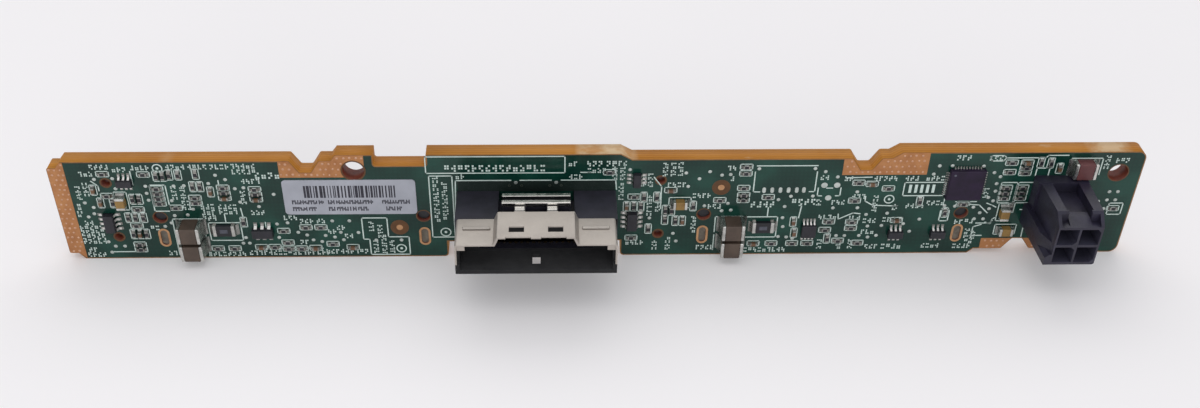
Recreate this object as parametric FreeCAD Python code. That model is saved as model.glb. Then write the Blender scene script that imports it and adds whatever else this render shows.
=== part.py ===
import FreeCAD, Part
import os
from math import sqrt

# Drive backplane board for two small drives side by side: a thick circuit board that stands on its
# long edge, with the data and power connectors on the front and the drive receptacles on the rear.
# Millimetres. X runs along the board, +Z is up, and the front faces -Y. The origin is the centre of
# the left screw hole on the front face.
#
# The sizes below give places on the board as a distance along it from its left end (or from a bay's
# centre) and a distance down from its main top edge.

V = FreeCAD.Vector

# ---- board ----
left_end_to_bay = 32.3        # left end to the centre of the left drive bay
bay_pitch = 76.4              # between the centres of the two bays
bay_to_right_end = 42.6
board_height = 16.8
board_thickness = 2.4
raised_height = 0.95          # of the raised stretches of the top edge
corner_radius = 1.25          # at the right end
edge_radius = 0.35            # where the outline turns elsewhere
drill_run_out = 1.0           # of the drills beyond the board's two faces

left_bay = left_end_to_bay
right_bay = left_bay + bay_pitch
board_length = right_bay + bay_to_right_end

end_tab_length = 1.25         # narrower tongue at the left end
end_tab_drop = 1.0
end_tab_ramp = 0.8

locating_notch_depth = 1.95   # tapered notches in the top edge that hook on the cage
locating_notch_mouth = 4.05
locating_notch_floor = 1.6
left_notch_from_bay = 2.65
right_notch_from_bay = 3.75

raised_ramp = 0.7
long_raised_ramp = 1.6
third_raised_ramp = 1.4
first_raise_from_bay = 7.0
relief_from_bay = 12.05       # shallow cut between the two first raised stretches
relief_width = 7.25
relief_drop = 0.9
second_raise_end_from_bay = 30.4    # from the right bay's centre
third_raise_from_bay = 8.5

connector_notch_offset = 0.4        # of the wide cut in the bottom edge from the data connector
connector_notch_width = 24.7
connector_notch_depth = 2.7
connector_notch_radius = 0.6

foot_step = 0.8               # raised stretch of the bottom edge near the right end
foot_from_bay = 21.4
foot_length = 12.1
foot_ramp = 0.85
foot_notch_from_bay = 27.45
foot_notch_mouth = 4.1
foot_notch_floor = 1.45
foot_notch_depth = 1.85

screw_radius = 1.5
screw_from_bay = 9.25
screw_down = 1.65
right_screw_radius = 1.35
right_screw_from_end = 3.3
right_screw_down = 2.6

guide_hole_radius = 0.6       # two unplated holes beside each bay
guide_hole_from_bay = 24.75
guide_hole_downs = (3.5, 12.9)

# ---- drive receptacle on the rear, one per bay ----
peg_spacing = 36.8
peg_radius = 0.85
peg_clearance = 0.06
peg_down = 9.5
peg_length = 1.9
lock_down = 13.1
lock_hole_width = 1.0
lock_hole_length = 2.6
lock_width = 2.0
lock_thickness = 0.45
lock_clearance = 0.05
lock_slit = 0.5
lock_slit_depth = 2.0
lock_seat_depth = 2.0         # how far the clip is pressed into the housing
lock_recess = 0.25            # of the clip's tip under the front face

receptacle_length = 43.4
receptacle_height = 6.8
receptacle_down = 11.4
receptacle_base = 2.7
standoff = 0.5                # space under the housing for the solder tails
standoff_foot = 3.6           # length of the feet at the ends
nose_length = 35.6
nose_height = 4.9
nose_depth = 8.2
guide_post_length = 3.0
guide_post_height = 3.8
guide_post_depth = 10.4
guide_post_taper = 0.6
tongue_slot_length = 33.4
tongue_slot_width = 1.6
key_slot_width = 1.3
key_slot_drop = 1.1

contact_thickness = 0.22
contact_reach = 7.6
contact_bulge = 0.3           # of the blade's bow, this far from its tip
contact_bow_from_tip = 1.2
tail_overhang = 0.9           # tail beyond the side of the housing
wide_contact = 0.62
narrow_contact = 0.4
contact_pitch = 1.27
fine_contact_pitch = 0.8
signal_contacts = 7
power_contacts = 15
signal_start = 14.2           # first signal contact from the bay's centre
power_start = 3.9
second_port_start = 4.9

# ---- data connector on the front ----
data_from_bay = 42.05         # to the left of the right bay's centre
data_base_depth = 6.6
data_depth = 12.3
base_side_step = 0.25         # of the housing's base beyond the shell
base_top_step = 0.15          # of the base's top under the shell's top
base_bottom_step = 0.05
shell_half_width = 10.8
shell_top_down = 5.05
shell_bottom_down = 9.95
shell_thickness = 0.25
hood_half_width = 5.2
hood_rise = 1.2
hood_shoulder = 0.5
flange_drop = 3.4             # of the shell's side flanges under its top; the bottom is open
shell_radius = 0.4
hood_relief_depth = 0.25      # two shallow cuts in the hood's front edge
hood_relief_start = 0.68
hood_relief_end = 4.0
mouth_recess = 4.25           # depth of the mouth in front of the card slot
liner_wall = 0.35
liner_recess = 0.75           # of the plastic liner inside the shell's mouth
card_slot_length = 15.6
card_slot_width = 1.7
card_slot_floor = 1.6
card_slot_rise = 1.2          # of its middle over the mouth's floor
latch_window_length = 2.0
latch_window_width = 1.2
latch_window_offset = 2.6
latch_window_depth = 10.4
floor_window_length = 1.1
floor_window_width = 2.0
floor_window_depth = 9.9
strap_width = 1.5             # of the two straps from the hood to the latch channel
strap_offset = 2.2
recess_depth = 1.7            # of the housing's open middle behind the hood
carrier_rib_inset = 0.2       # of the rib under the latch channel from the channel's outline
finger_length = 1.1
finger_width = 0.9
finger_recess = 0.25          # of the contact fingers inside the shell's mouth
channel_length = 9.4
channel_start = 3.0
channel_width = 2.25
channel_height = 0.7
channel_lip = 0.7
channel_floor = 0.15
data_contacts_per_row = 18
data_contact_pitch = 0.8
data_contact_width = 0.4
data_contact_thickness = 0.2
data_contact_recess = 1.2     # of the blades inside the card slot

# ---- power header on the front ----
header_from_bay = 31.35
header_row_down = 7.8         # midway between its two rows
header_pitch = 3.0
header_pocket_width = 2.7
header_pocket_height = 2.6
header_side_wall = 0.25        # outside its pockets, at the front
header_front_wall = 0.4        # over and under its pockets
header_depth = 9.9
header_taper = 0.3             # by which each side widens from its front to the board
header_pocket_floor = 1.9
header_base_depth = 1.9
header_base_step = 0.3         # of its base beyond the left side
header_base_top_down = 3.0
header_rail_width = 1.3
header_rail_top_down = 3.05
header_rail_end = 8.5
header_rail_tab = 0.25         # turned in at the end of each rail
header_rail_tab_length = 0.5
header_strip_width = 0.45      # wall outside the latch wedge, sloping to the front
header_strip_slope_start = 8.2
header_wedge_rise = 0.5
header_wedge_run = 2.6
header_wedge_width = 3.0
header_wedge_recess = 0.25     # of the latch wedge behind the header's front
header_rib_width = 0.85
header_rib_height = 1.7
header_rib_chamfer = 0.5
header_lug_top_down = 7.75     # lug over the rib, with a slanted front
header_lug_end = 7.0
header_lug_slant = 2.2
header_edge_radius = 0.3
pocket_chamfer = 0.5
power_pin = 0.64
power_pin_hole_radius = 0.51
power_pin_tail = 1.1
power_pin_front = 7.6

# ---- parts soldered to the front face ----
capacitor_length = 3.2
capacitor_width = 2.6
capacitor_height = 2.6
capacitor_terminal = 0.5
capacitor_gap = 0.5
capacitor_from_bay = -14.3
capacitor_down = 9.8
filter_capacitor_height = 1.5
filter_capacitor_from_bay = 34.05
filter_capacitor_down = 0.25

shunt_length = 3.1
shunt_width = 1.8
shunt_height = 0.6
shunt_terminal = 0.5
shunt_from_bay = -9.8
shunt_down = 11.65

medium_length = 2.0
medium_width = 1.25
medium_height = 1.0
medium_terminal = 0.4

chip_length = 1.0
chip_width = 0.5
resistor_height = 0.35
chip_capacitor_height = 0.5

controller_size = 5.0
controller_height = 0.85
controller_from_bay = 17.95
controller_down = 4.25
controller_pads = 10
controller_pad_pitch = 0.4
controller_pad_width = 0.2
controller_pad_reach = 0.12
controller_pad_height = 0.2
controller_standoff = 0.02
controller_edge = 0.12

lead_thickness = 0.14
lead_reach = 0.6              # of the foot beyond the body
lead_bend = 0.25
lead_share = 0.45             # of the pitch that a lead fills
package_standoff = 0.08
package_draft = 0.08
six_lead_count = 3            # leads along each side
eight_lead_count = 4

label_to_connector = 5.7       # bare stretch between the label and the data connector
label_height = 5.9
label_thickness = 0.12
label_from_bay = -0.8
label_down = 3.15

# ---- places that the parts are set from ----
screw_x = left_bay + screw_from_bay
screw_z = -screw_down
data_x = right_bay - data_from_bay
beside_data = data_x + shell_half_width + base_side_step
header_x = right_bay + header_from_bay

# chips: (from the bay's centre or the connector's side, down, turned), turned True across the board
LEFT_RESISTORS = [
    (-24.9, 2.0, False), (-19.4, 2.1, False), (-17.7, 2.4, True), (-16.8, 2.4, True),
    (-15.9, 2.2, True), (-14.7, 2.2, True), (-12.3, 2.1, True),
    (-18.0, 4.5, False), (-18.0, 5.35, False), (-18.0, 6.2, False), (-18.0, 7.05, False),
    (-13.0, 4.2, True), (-12.0, 4.2, True), (-13.0, 6.1, False), (-13.0, 6.95, False),
    (-8.9, 4.4, False), (-8.9, 5.25, False), (-25.0, 5.7, False), (-24.4, 6.9, True),
    (-21.6, 6.3, True), (-20.7, 6.3, True), (-21.2, 8.05, False),
    (-22.8, 9.5, True), (-21.8, 9.5, True), (-20.7, 9.5, True), (-21.9, 10.9, False),
    (-22.6, 12.4, True), (-20.8, 12.4, True), (-22.1, 14.3, False), (-22.1, 15.2, False),
    (-15.9, 7.8, False), (-6.9, 10.4, True), (-11.2, 15.1, False), (-8.8, 15.1, False),
    (-4.6, 4.7, False), (-4.6, 5.5, False), (-1.5, 12.0, False), (1.7, 11.4, False),
    (3.8, 11.4, False), (-3.1, 14.9, False), (-1.15, 14.1, False), (-1.15, 15.2, False),
    (0.7, 15.2, False), (5.2, 14.4, False)]
LEFT_CAPACITORS = [
    (-26.7, 4.7, True), (-26.1, 6.9, True), (-10.7, 5.1, True), (-8.9, 6.15, False),
    (-21.7, 12.4, True), (-4.6, 6.4, False), (-5.0, 14.9, False), (2.7, 15.1, False),
    (8.0, 15.0, False)]
CONNECTOR_RESISTORS = [
    (-0.9, 2.1, False), (2.6, 6.3, False), (4.0, 6.4, True), (5.8, 6.4, True), (2.6, 8.0, True),
    (3.6, 8.0, True), (7.1, 8.7, True), (8.0, 8.75, True), (11.0, 8.0, True), (7.1, 10.4, True),
    (8.6, 10.6, True), (4.8, 12.0, True), (2.4, 13.6, False)]
CONNECTOR_CAPACITORS = [(1.6, 8.0, True), (7.7, 5.2, False), (9.6, 10.6, True)]
RIGHT_RESISTORS = [
    (-13.0, 1.3, False), (-13.0, 2.4, False), (-13.1, 4.9, False), (-13.0, 6.1, False),
    (-13.0, 7.0, False), (-16.3, 7.0, False), (-9.5, 6.5, False), (-8.3, 14.8, False),
    (-5.3, 14.8, False),
    (3.0, 4.1, False), (7.3, 5.1, False), (2.8, 7.2, False), (12.1, 7.4, True),
    (-0.4, 10.9, False), (-0.8, 12.4, False), (2.9, 11.0, False), (2.9, 12.1, False),
    (-0.3, 14.0, True), (1.3, 14.4, False), (-3.1, 14.8, False), (4.2, 14.8, False),
    (18.4, 7.9, False), (16.0, 9.4, True), (23.9, 0.8, False), (28.0, 0.8, True),
    (29.4, 0.9, True), (23.9, 2.4, False), (26.1, 1.7, False), (26.1, 2.55, False),
    (24.0, 5.1, False), (24.0, 6.0, False), (24.0, 6.9, False), (26.3, 5.1, False),
    (26.3, 6.0, False), (26.3, 6.9, False), (25.4, 8.6, True), (40.1, 8.8, False)]
RIGHT_CAPACITORS = [
    (-10.9, 14.8, False), (-5.5, 10.9, True),
    (4.9, 4.3, False), (26.1, 0.8, False), (30.8, 1.8, True), (-5.2, 12.9, True),
    (9.3, 10.7, False)]

# medium capacitors: (set from, distance, down, turned)
MEDIUM_CAPACITORS = [
    (left_bay, -23.2, 6.6, True), (beside_data, 9.1, 7.4, False),
    (right_bay, 24.5, 9.4, True), (right_bay, 25.3, 12.5, False)]

# leaded packages: (node, set from, distance, down, length, width, height, leads a side, pitch, on its side)
PACKAGES = [
    ("six_lead_chips", left_bay, -4.4, 12.05, 2.9, 1.5, 1.0, six_lead_count, 0.95, False),
    ("small_six_lead_chips", left_bay, -22.1, 3.3, 2.1, 1.15, 0.9, six_lead_count, 0.65, False),
    ("small_six_lead_chips", right_bay, 9.4, 13.0, 2.1, 1.25, 0.9, six_lead_count, 0.65, False),
    ("small_six_lead_chips", right_bay, 15.5, 13.0, 2.1, 1.25, 0.9, six_lead_count, 0.65, False),
    ("small_six_lead_chips", beside_data, 2.9, 3.2, 2.1, 1.15, 0.9, six_lead_count, 0.65, True),
    ("eight_lead_chips", left_bay, -25.4, 10.1, 2.9, 1.5, 1.0, eight_lead_count, 0.8, True),
    ("eight_lead_chips", beside_data, 2.4, 10.3, 2.9, 1.5, 1.0, eight_lead_count, 0.8, True),
    ("narrow_chip", right_bay, -3.2, 12.3, 2.0, 2.2, 0.8, eight_lead_count, 0.5, False)]


def block(x0, x1, y0, y1, z0, z1):
    """A box between two corners, given in any order."""
    low = V(min(x0, x1), min(y0, y1), min(z0, z1))
    return Part.makeBox(abs(x1 - x0), abs(y1 - y0), abs(z1 - z0), low)


def rounded_face(corners):
    """A face in the XZ plane from corners (x, z, radius), each turned with an arc of its radius."""
    edges = []
    last = None
    first = None
    count = len(corners)
    for i in range(count):
        x, z, radius = corners[i]
        here = V(x, 0, z)
        before = V(corners[i - 1][0], 0, corners[i - 1][1]) - here
        after = V(corners[(i + 1) % count][0], 0, corners[(i + 1) % count][1]) - here
        before.normalize()
        after.normalize()
        cosine = max(-1.0, min(1.0, before.dot(after)))
        trim = 0.0
        if radius > 0:
            trim = radius * sqrt((1 + cosine) / (1 - cosine))
        start = here + before * trim
        end = here + after * trim
        if last is not None and (start - last).Length > 1e-6:
            edges.append(Part.makeLine(last, start))
        if first is None:
            first = start
        if radius > 0:
            inward = before + after
            inward.normalize()
            to_centre = radius / sqrt((1 - cosine) / 2)
            middle = here + inward * (to_centre - radius)
            edges.append(Part.Arc(start, middle, end).toShape())
        last = end
    if (first - last).Length > 1e-6:
        edges.append(Part.makeLine(last, first))
    return Part.Face(Part.Wire(edges))


def prism(corners, y0, y1):
    """The rounded outline in the XZ plane, carried from y0 to y1."""
    face = rounded_face(corners)
    face.translate(V(0, y0, 0))
    return face.extrude(V(0, y1 - y0, 0))


def side_prism(points, x0, x1):
    """A polygon of (y, z) points carried along X."""
    wire = Part.makePolygon([V(x0, y, z) for y, z in points + points[:1]])
    return Part.Face(wire).extrude(V(x1 - x0, 0, 0))


def plan_prism(points, z0, z1):
    """A polygon of (x, y) points carried upwards."""
    wire = Part.makePolygon([V(x, y, z0) for x, y in points + points[:1]])
    return Part.Face(wire).extrude(V(0, 0, z1 - z0))


def drill(x, z, radius, y0, y1):
    return Part.makeCylinder(radius, y1 - y0, V(x, y0, z), V(0, 1, 0))


def slot_hole(x, z, width, length, y0, y1):
    """An upright slot with round ends."""
    r = width / 2
    reach = length / 2 - r
    ends = [drill(x, z + side * reach, r, y0, y1) for side in (-1, 1)]
    middle = block(x - r, x + r, y0, y1, z - reach, z + reach)
    return middle.fuse(ends[0]).fuse(ends[1]).removeSplitter()


# ---- circuit board ----
def tapered_notch(centre, level, depth, mouth, floor, radius):
    """Corners, left to right, of a notch that goes down (or up, with a negative depth) from a level."""
    return [(centre - mouth / 2, level, radius), (centre - floor / 2, level - depth, radius),
            (centre + floor / 2, level - depth, radius), (centre + mouth / 2, level, radius)]


def board_outline():
    r = edge_radius
    up = raised_height
    relief = left_bay + relief_from_bay
    relief_end = relief + relief_width
    raise_1 = left_bay + first_raise_from_bay
    raise_2_end = right_bay - second_raise_end_from_bay
    raise_3 = right_bay + third_raise_from_bay
    top = [(0, -end_tab_drop, r), (end_tab_length, -end_tab_drop, 0),
           (end_tab_length + end_tab_ramp, 0, 0)]
    top += tapered_notch(left_bay + left_notch_from_bay, 0, locating_notch_depth,
                         locating_notch_mouth, locating_notch_floor, r)
    top += [(raise_1 - raised_ramp, 0, 0), (raise_1, up, 0),
            (relief, up, 0), (relief, -relief_drop, r), (relief_end, -relief_drop, r),
            (relief_end, up, 0), (raise_2_end, up, 0), (raise_2_end + long_raised_ramp, 0, 0)]
    top += tapered_notch(right_bay + right_notch_from_bay, 0, locating_notch_depth,
                         locating_notch_mouth, locating_notch_floor, r)
    top += [(raise_3 - third_raised_ramp, 0, 0), (raise_3, up, 0), (board_length, up, corner_radius)]

    low = -board_height
    foot = right_bay + foot_from_bay
    foot_end = foot + foot_length
    step = low + foot_step
    wide = data_x - connector_notch_offset - connector_notch_width / 2
    wide_end = wide + connector_notch_width
    n = connector_notch_radius
    bottom = [(end_tab_length + end_tab_ramp, low, 0), (end_tab_length, low + end_tab_drop, 0),
              (0, low + end_tab_drop, r)]
    bottom = [(wide_end, low, n), (wide_end, low + connector_notch_depth, 0),
              (wide, low + connector_notch_depth, 0), (wide, low, n)] + bottom
    foot_notch = tapered_notch(right_bay + foot_notch_from_bay, step, -foot_notch_depth,
                               foot_notch_mouth, foot_notch_floor, r)
    bottom = [(board_length, low, corner_radius), (foot_end + foot_ramp, low, 0), (foot_end, step, 0)] \
        + foot_notch[::-1] + [(foot, step, 0), (foot - foot_ramp, low, 0)] + bottom
    return top + bottom


def circuit_board():
    board = prism(board_outline(), 0, board_thickness)
    near = -drill_run_out
    far = board_thickness + drill_run_out
    cuts = [drill(screw_x, screw_z, screw_radius, near, far),
            drill(board_length - right_screw_from_end, -right_screw_down, right_screw_radius, near, far)]
    for bay in (left_bay, right_bay):
        for down in guide_hole_downs:
            cuts.append(drill(bay - guide_hole_from_bay, -down, guide_hole_radius, near, far))
        for side in (-1, 1):
            x = bay + side * peg_spacing / 2
            cuts.append(drill(x, -peg_down, peg_radius + peg_clearance, near, far))
            cuts.append(slot_hole(x, -lock_down, lock_hole_width, lock_hole_length, near, far))
    for x, z in header_pins():
        cuts.append(drill(x, z, power_pin_hole_radius, near, far))
    return board.cut(Part.makeCompound(cuts))


# ---- drive receptacles ----
def receptacle_housing(bay):
    t = board_thickness
    z = -receptacle_down
    half = receptacle_length / 2
    high = receptacle_height / 2
    base = block(bay - half, bay + half, t, t + receptacle_base, z - high, z + high)
    nose_half = nose_length / 2
    nose_high = nose_height / 2
    nose = block(bay - nose_half, bay + nose_half, t + receptacle_base, t + nose_depth,
                 z - nose_high, z + nose_high)
    solid = base.fuse(nose)
    for side in (-1, 1):
        outer = bay + side * half
        inner = outer - side * guide_post_length
        post = guide_post(outer, inner, z)
        solid = solid.fuse(post)
        peg = drill(bay + side * peg_spacing / 2, -peg_down, peg_radius, t - peg_length, t)
        solid = solid.fuse(peg)
        lock_x = bay + side * peg_spacing / 2
        grip = lock_clearance
        solid = solid.cut(block(lock_x - lock_thickness / 2 - grip, lock_x + lock_thickness / 2 + grip,
                                t, t + lock_seat_depth,
                                -lock_down - lock_width / 2 - grip, -lock_down + lock_width / 2 + grip))
    inner_half = half - standoff_foot - (half - peg_spacing / 2)
    solid = solid.cut(block(bay - inner_half, bay + inner_half, t, t + standoff, z - high, z + high))
    slot_half = tongue_slot_length / 2
    slot_high = tongue_slot_width / 2
    top = t + nose_depth
    solid = solid.cut(block(bay - slot_half, bay + slot_half, t, top, z - slot_high, z + slot_high))
    for side in (-1, 1):
        edge = bay + side * slot_half
        solid = solid.cut(block(edge, edge - side * key_slot_width, t + receptacle_base, top,
                                z - slot_high, z - slot_high - key_slot_drop))
    return solid.removeSplitter()


def guide_post(outer, inner, z):
    """An end post whose tip tapers on all four sides."""
    t = board_thickness
    high = guide_post_height / 2
    shank_top = t + guide_post_depth - 2 * guide_post_taper
    shank = block(outer, inner, t + receptacle_base, shank_top, z - high, z + high)
    sides = []
    for inset, y in ((0, shank_top), (guide_post_taper, t + guide_post_depth)):
        step = inset if outer > inner else -inset
        a = outer - step
        b = inner + step
        low = z - high + inset
        top = z + high - inset
        sides.append(Part.makePolygon([V(a, y, low), V(b, y, low), V(b, y, top), V(a, y, top), V(a, y, low)]))
    tip = Part.makeLoft(sides, True, True)
    return shank.fuse(tip)


def blade_contact(x, z, side, width):
    """A spring blade on one wall of the tongue slot, whose tail runs out under the housing."""
    t = board_thickness
    wall = z + side * tongue_slot_width / 2
    tail_end = z + side * (receptacle_height / 2 + tail_overhang)
    c = contact_thickness
    bow = contact_bulge
    top = t + contact_reach
    bend = top - contact_bow_from_tip
    points = [(t, wall - side * c), (t, tail_end), (t + c, tail_end), (t + c, wall),
              (top, wall), (top, wall - side * c), (bend, wall - side * (bow + c))]
    return side_prism(points, x - width / 2, x + width / 2)


def contact_row(bay, start, count, pitch, direction, side, width):
    z = -receptacle_down
    return [blade_contact(bay + start + direction * i * pitch, z, side, width) for i in range(count)]


def board_locks(bay):
    """Forked clips pressed into the housing that are soldered in the board's oval slots."""
    t = board_thickness
    clips = []
    for side in (-1, 1):
        x = bay + side * peg_spacing / 2
        half = lock_thickness / 2
        clip = block(x - half, x + half, lock_recess, t + lock_seat_depth,
                     -lock_down - lock_width / 2, -lock_down + lock_width / 2)
        slit = block(x - half, x + half, lock_recess, lock_recess + lock_slit_depth,
                     -lock_down - lock_slit / 2, -lock_down + lock_slit / 2)
        clips.append(clip.cut(slit))
    return clips


# ---- data connector ----
def hooded_outline(inset, corner):
    """Outline of the connector's shell, with the raised hood in the middle of its top."""
    top = -shell_top_down - inset
    low = -shell_bottom_down + inset
    half = shell_half_width - inset
    hood = hood_half_width - inset
    lift = hood_rise
    foot = hood + hood_shoulder
    r = corner
    return [(data_x - half, low, r), (data_x + half, low, r), (data_x + half, top, r),
            (data_x + foot, top, 0), (data_x + hood, top + lift, r / 2),
            (data_x - hood, top + lift, r / 2), (data_x - foot, top, 0), (data_x - half, top, r)]


def data_connector_shell():
    back = -data_base_depth
    front = -data_depth
    outer = prism(hooded_outline(0, shell_radius), front, back)
    inner = prism(hooded_outline(shell_thickness, shell_radius - shell_thickness), front, back)
    shell = outer.cut(inner)
    hood_top = -shell_top_down + hood_rise
    for side in (-1, 1):
        x = data_x + side * latch_window_offset
        shell = shell.cut(block(x - latch_window_length / 2, x + latch_window_length / 2,
                                -latch_window_depth - latch_window_width / 2,
                                -latch_window_depth + latch_window_width / 2,
                                hood_top, hood_top - shell_thickness))
        strap = data_x + side * strap_offset
        shell = shell.fuse(block(strap - strap_width / 2, strap + strap_width / 2, back,
                                 -channel_start - channel_width, hood_top, hood_top - shell_thickness))
        shell = shell.cut(block(data_x + side * hood_relief_start, data_x + side * hood_relief_end, front,
                                front + hood_relief_depth, hood_top, hood_top - shell_thickness))
        wall = data_x + side * (shell_half_width - shell_thickness)
        ceiling = -shell_top_down - shell_thickness
        finger = front + finger_recess
        shell = shell.fuse(block(wall, wall - side * finger_length, finger, finger + shell_thickness,
                                 ceiling, ceiling - finger_width))
    shell = shell.cut(block(data_x - shell_half_width, data_x + shell_half_width, front, back,
                            -shell_bottom_down, -shell_top_down - flange_drop))
    return shell.removeSplitter()


def floor_window(low, thickness):
    half = floor_window_length / 2
    return block(data_x - half, data_x + half, -floor_window_depth - floor_window_width / 2,
                 -floor_window_depth + floor_window_width / 2, low, low + thickness)


def data_connector_housing():
    wall = shell_thickness
    back = -data_base_depth
    low = -shell_bottom_down - base_bottom_step
    top = -shell_top_down - base_top_step
    pad_top = -shell_top_down + hood_rise - wall
    pad = hood_half_width
    half = shell_half_width + base_side_step
    base = block(data_x - half, data_x + half, back, 0, low, top)
    recess_floor = top - recess_depth
    base = base.cut(block(data_x - pad, data_x + pad, back, 0, recess_floor, top))
    rib_back = -channel_start - carrier_rib_inset
    rib_front = -channel_start - channel_width + carrier_rib_inset
    rib_half = channel_length / 2 - carrier_rib_inset
    base = base.fuse(block(data_x - rib_half, data_x + rib_half, rib_front, rib_back, recess_floor, pad_top))
    inner = hooded_outline(wall, shell_radius - wall)
    liner_front = -data_depth + liner_recess
    core = prism(inner, liner_front, back)
    flange_end = -shell_top_down - flange_drop
    trough = block(data_x - shell_half_width, data_x + shell_half_width, -data_depth, back,
                   -shell_bottom_down, flange_end)
    core = core.fuse(trough)
    mouth_floor = -shell_bottom_down + wall + liner_wall
    mouth_half = shell_half_width - wall - liner_wall
    core = core.cut(block(data_x - mouth_half, data_x + mouth_half, -data_depth,
                          -data_depth + mouth_recess, mouth_floor, 0))
    housing = base.fuse(core)
    slot_z = mouth_floor + card_slot_rise
    housing = housing.cut(block(data_x - card_slot_length / 2, data_x + card_slot_length / 2,
                                -data_depth + mouth_recess, -card_slot_floor,
                                slot_z - card_slot_width / 2, slot_z + card_slot_width / 2))
    housing = housing.cut(floor_window(-shell_bottom_down, wall + liner_wall))
    return housing.removeSplitter()


def data_contact_row(side):
    """One row of blades on a wall of the card slot."""
    wall = shell_thickness
    slot_z = -shell_bottom_down + wall + liner_wall + card_slot_rise
    face = slot_z + side * card_slot_width / 2
    inner = face - side * data_contact_thickness
    first = data_x - (data_contacts_per_row - 1) * data_contact_pitch / 2
    blades = []
    for i in range(data_contacts_per_row):
        x = first + i * data_contact_pitch
        blades.append(block(x - data_contact_width / 2, x + data_contact_width / 2,
                            -data_depth + mouth_recess + data_contact_recess, -card_slot_floor,
                            face, inner))
    return blades


def latch_channel():
    """The folded strip on top of the connector: a floor with a raised lip along each side."""
    back = -channel_start
    front = back - channel_width
    low = -shell_top_down + hood_rise - shell_thickness
    top = low + channel_height
    points = [(back, low), (back, top), (back - channel_lip, top), (back - channel_lip, low + channel_floor),
              (front + channel_lip, low + channel_floor), (front + channel_lip, top), (front, top),
              (front, low)]
    return side_prism(points, data_x - channel_length / 2, data_x + channel_length / 2)


# ---- power header ----
def header_pins():
    half = header_pitch / 2
    return [(header_x + i * half, -header_row_down + j * half) for i in (-1, 1) for j in (-1, 1)]


def header_side(y):
    """Half the header's width at a depth in front of the board."""
    front_half = (header_pitch + header_pocket_width) / 2 + header_side_wall
    return front_half + header_taper * (1 + y / header_depth)


def power_header_housing():
    high = (header_pitch + header_pocket_height) / 2 + header_front_wall
    z = -header_row_down
    low = z - high
    floor = z + high - header_edge_radius
    front = -header_depth
    body = plan_prism([(header_x - header_side(0), 0), (header_x + header_side(0), 0),
                       (header_x + header_side(front), front), (header_x - header_side(front), front)],
                      low, z + high)
    long_edges = [edge for edge in body.Edges if edge.BoundBox.YLength > header_depth / 2]
    body = body.makeFillet(header_edge_radius, long_edges)
    left = header_x - header_side(0)
    body = body.fuse(block(left - header_base_step, header_x + header_side(0), -header_base_depth, 0,
                           low, -header_base_top_down))
    body = body.fuse(header_rib(left, low, front))
    lug_end = -header_lug_end
    lug_front = lug_end - header_lug_slant
    body = body.fuse(plan_prism([(left - header_rib_width, 0),
                                 (header_x - header_side(lug_end) - header_rib_width, lug_end),
                                 (header_x - header_side(lug_front), lug_front),
                                 (left + header_side_wall, 0)],
                                low + header_rib_height / 2, -header_lug_top_down))
    rail_top = -header_rail_top_down
    above_slope = side_prism([(-header_strip_slope_start, rail_top), (front, z + high), (front, rail_top)],
                             left, header_x + header_side(0))
    for side in (-1, 1):
        tab_start = header_rail_tab_length - header_rail_end
        for width, start, end in ((header_strip_width, -header_base_depth, front),
                                  (header_rail_width, -header_base_depth, -header_rail_end),
                                  (header_rail_width + header_rail_tab, tab_start, -header_rail_end)):
            inner = header_x + side * (header_side(end) - width)
            rail = plan_prism([(header_x + side * header_side(start), start),
                               (header_x + side * header_side(end), end), (inner, end), (inner, start)],
                              floor, rail_top)
            body = body.fuse(rail.cut(above_slope))
    wedge_top = z + high + header_wedge_rise
    wedge_end = front + header_wedge_recess
    body = body.fuse(side_prism([(wedge_end, floor), (wedge_end, z + high),
                                 (wedge_end + header_wedge_run / 2, wedge_top),
                                 (wedge_end + header_wedge_run, wedge_top),
                                 (wedge_end + header_wedge_run, floor)],
                                header_x - header_wedge_width / 2, header_x + header_wedge_width / 2))
    for x, pin_z in header_pins():
        body = body.cut(pocket(x, pin_z, front))
        hole = power_pin / 2
        body = body.cut(block(x - hole, x + hole, -header_pocket_floor, 0, pin_z - hole, pin_z + hole))
    return body.removeSplitter()


def header_rib(left, low, front):
    """The keying rib low on the left side, chamfered along its top; it follows the taper."""
    outer = left - header_rib_width
    top = low + header_rib_height
    inner = left + header_side_wall
    profile = rounded_face([(outer, low, 0), (inner, low, 0), (inner, top, 0),
                            (outer + header_rib_chamfer, top, 0), (outer, top - header_rib_chamfer, 0)])
    return profile.extrude(V(header_taper, front, 0))


def pocket(x, z, front):
    """A pocket for one crimp terminal, keyed by one cut corner on its right, upper and lower by turns."""
    wide = header_pocket_width / 2
    tall = header_pocket_height / 2
    corners = [(x - wide, z - tall, 0), (x + wide, z - tall, 0), (x + wide, z + tall, 0),
               (x - wide, z + tall, 0)]
    if (x > header_x) == (z > -header_row_down):
        corners[2:3] = [(x + wide, z + tall - pocket_chamfer, 0), (x + wide - pocket_chamfer, z + tall, 0)]
    else:
        corners[1:2] = [(x + wide - pocket_chamfer, z - tall, 0), (x + wide, z - tall + pocket_chamfer, 0)]
    return prism(corners, front, -header_pocket_floor)


def power_pins():
    half = power_pin / 2
    tail = board_thickness + power_pin_tail
    return [block(x - half, x + half, -power_pin_front, tail, z - half, z + half) for x, z in header_pins()]


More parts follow.
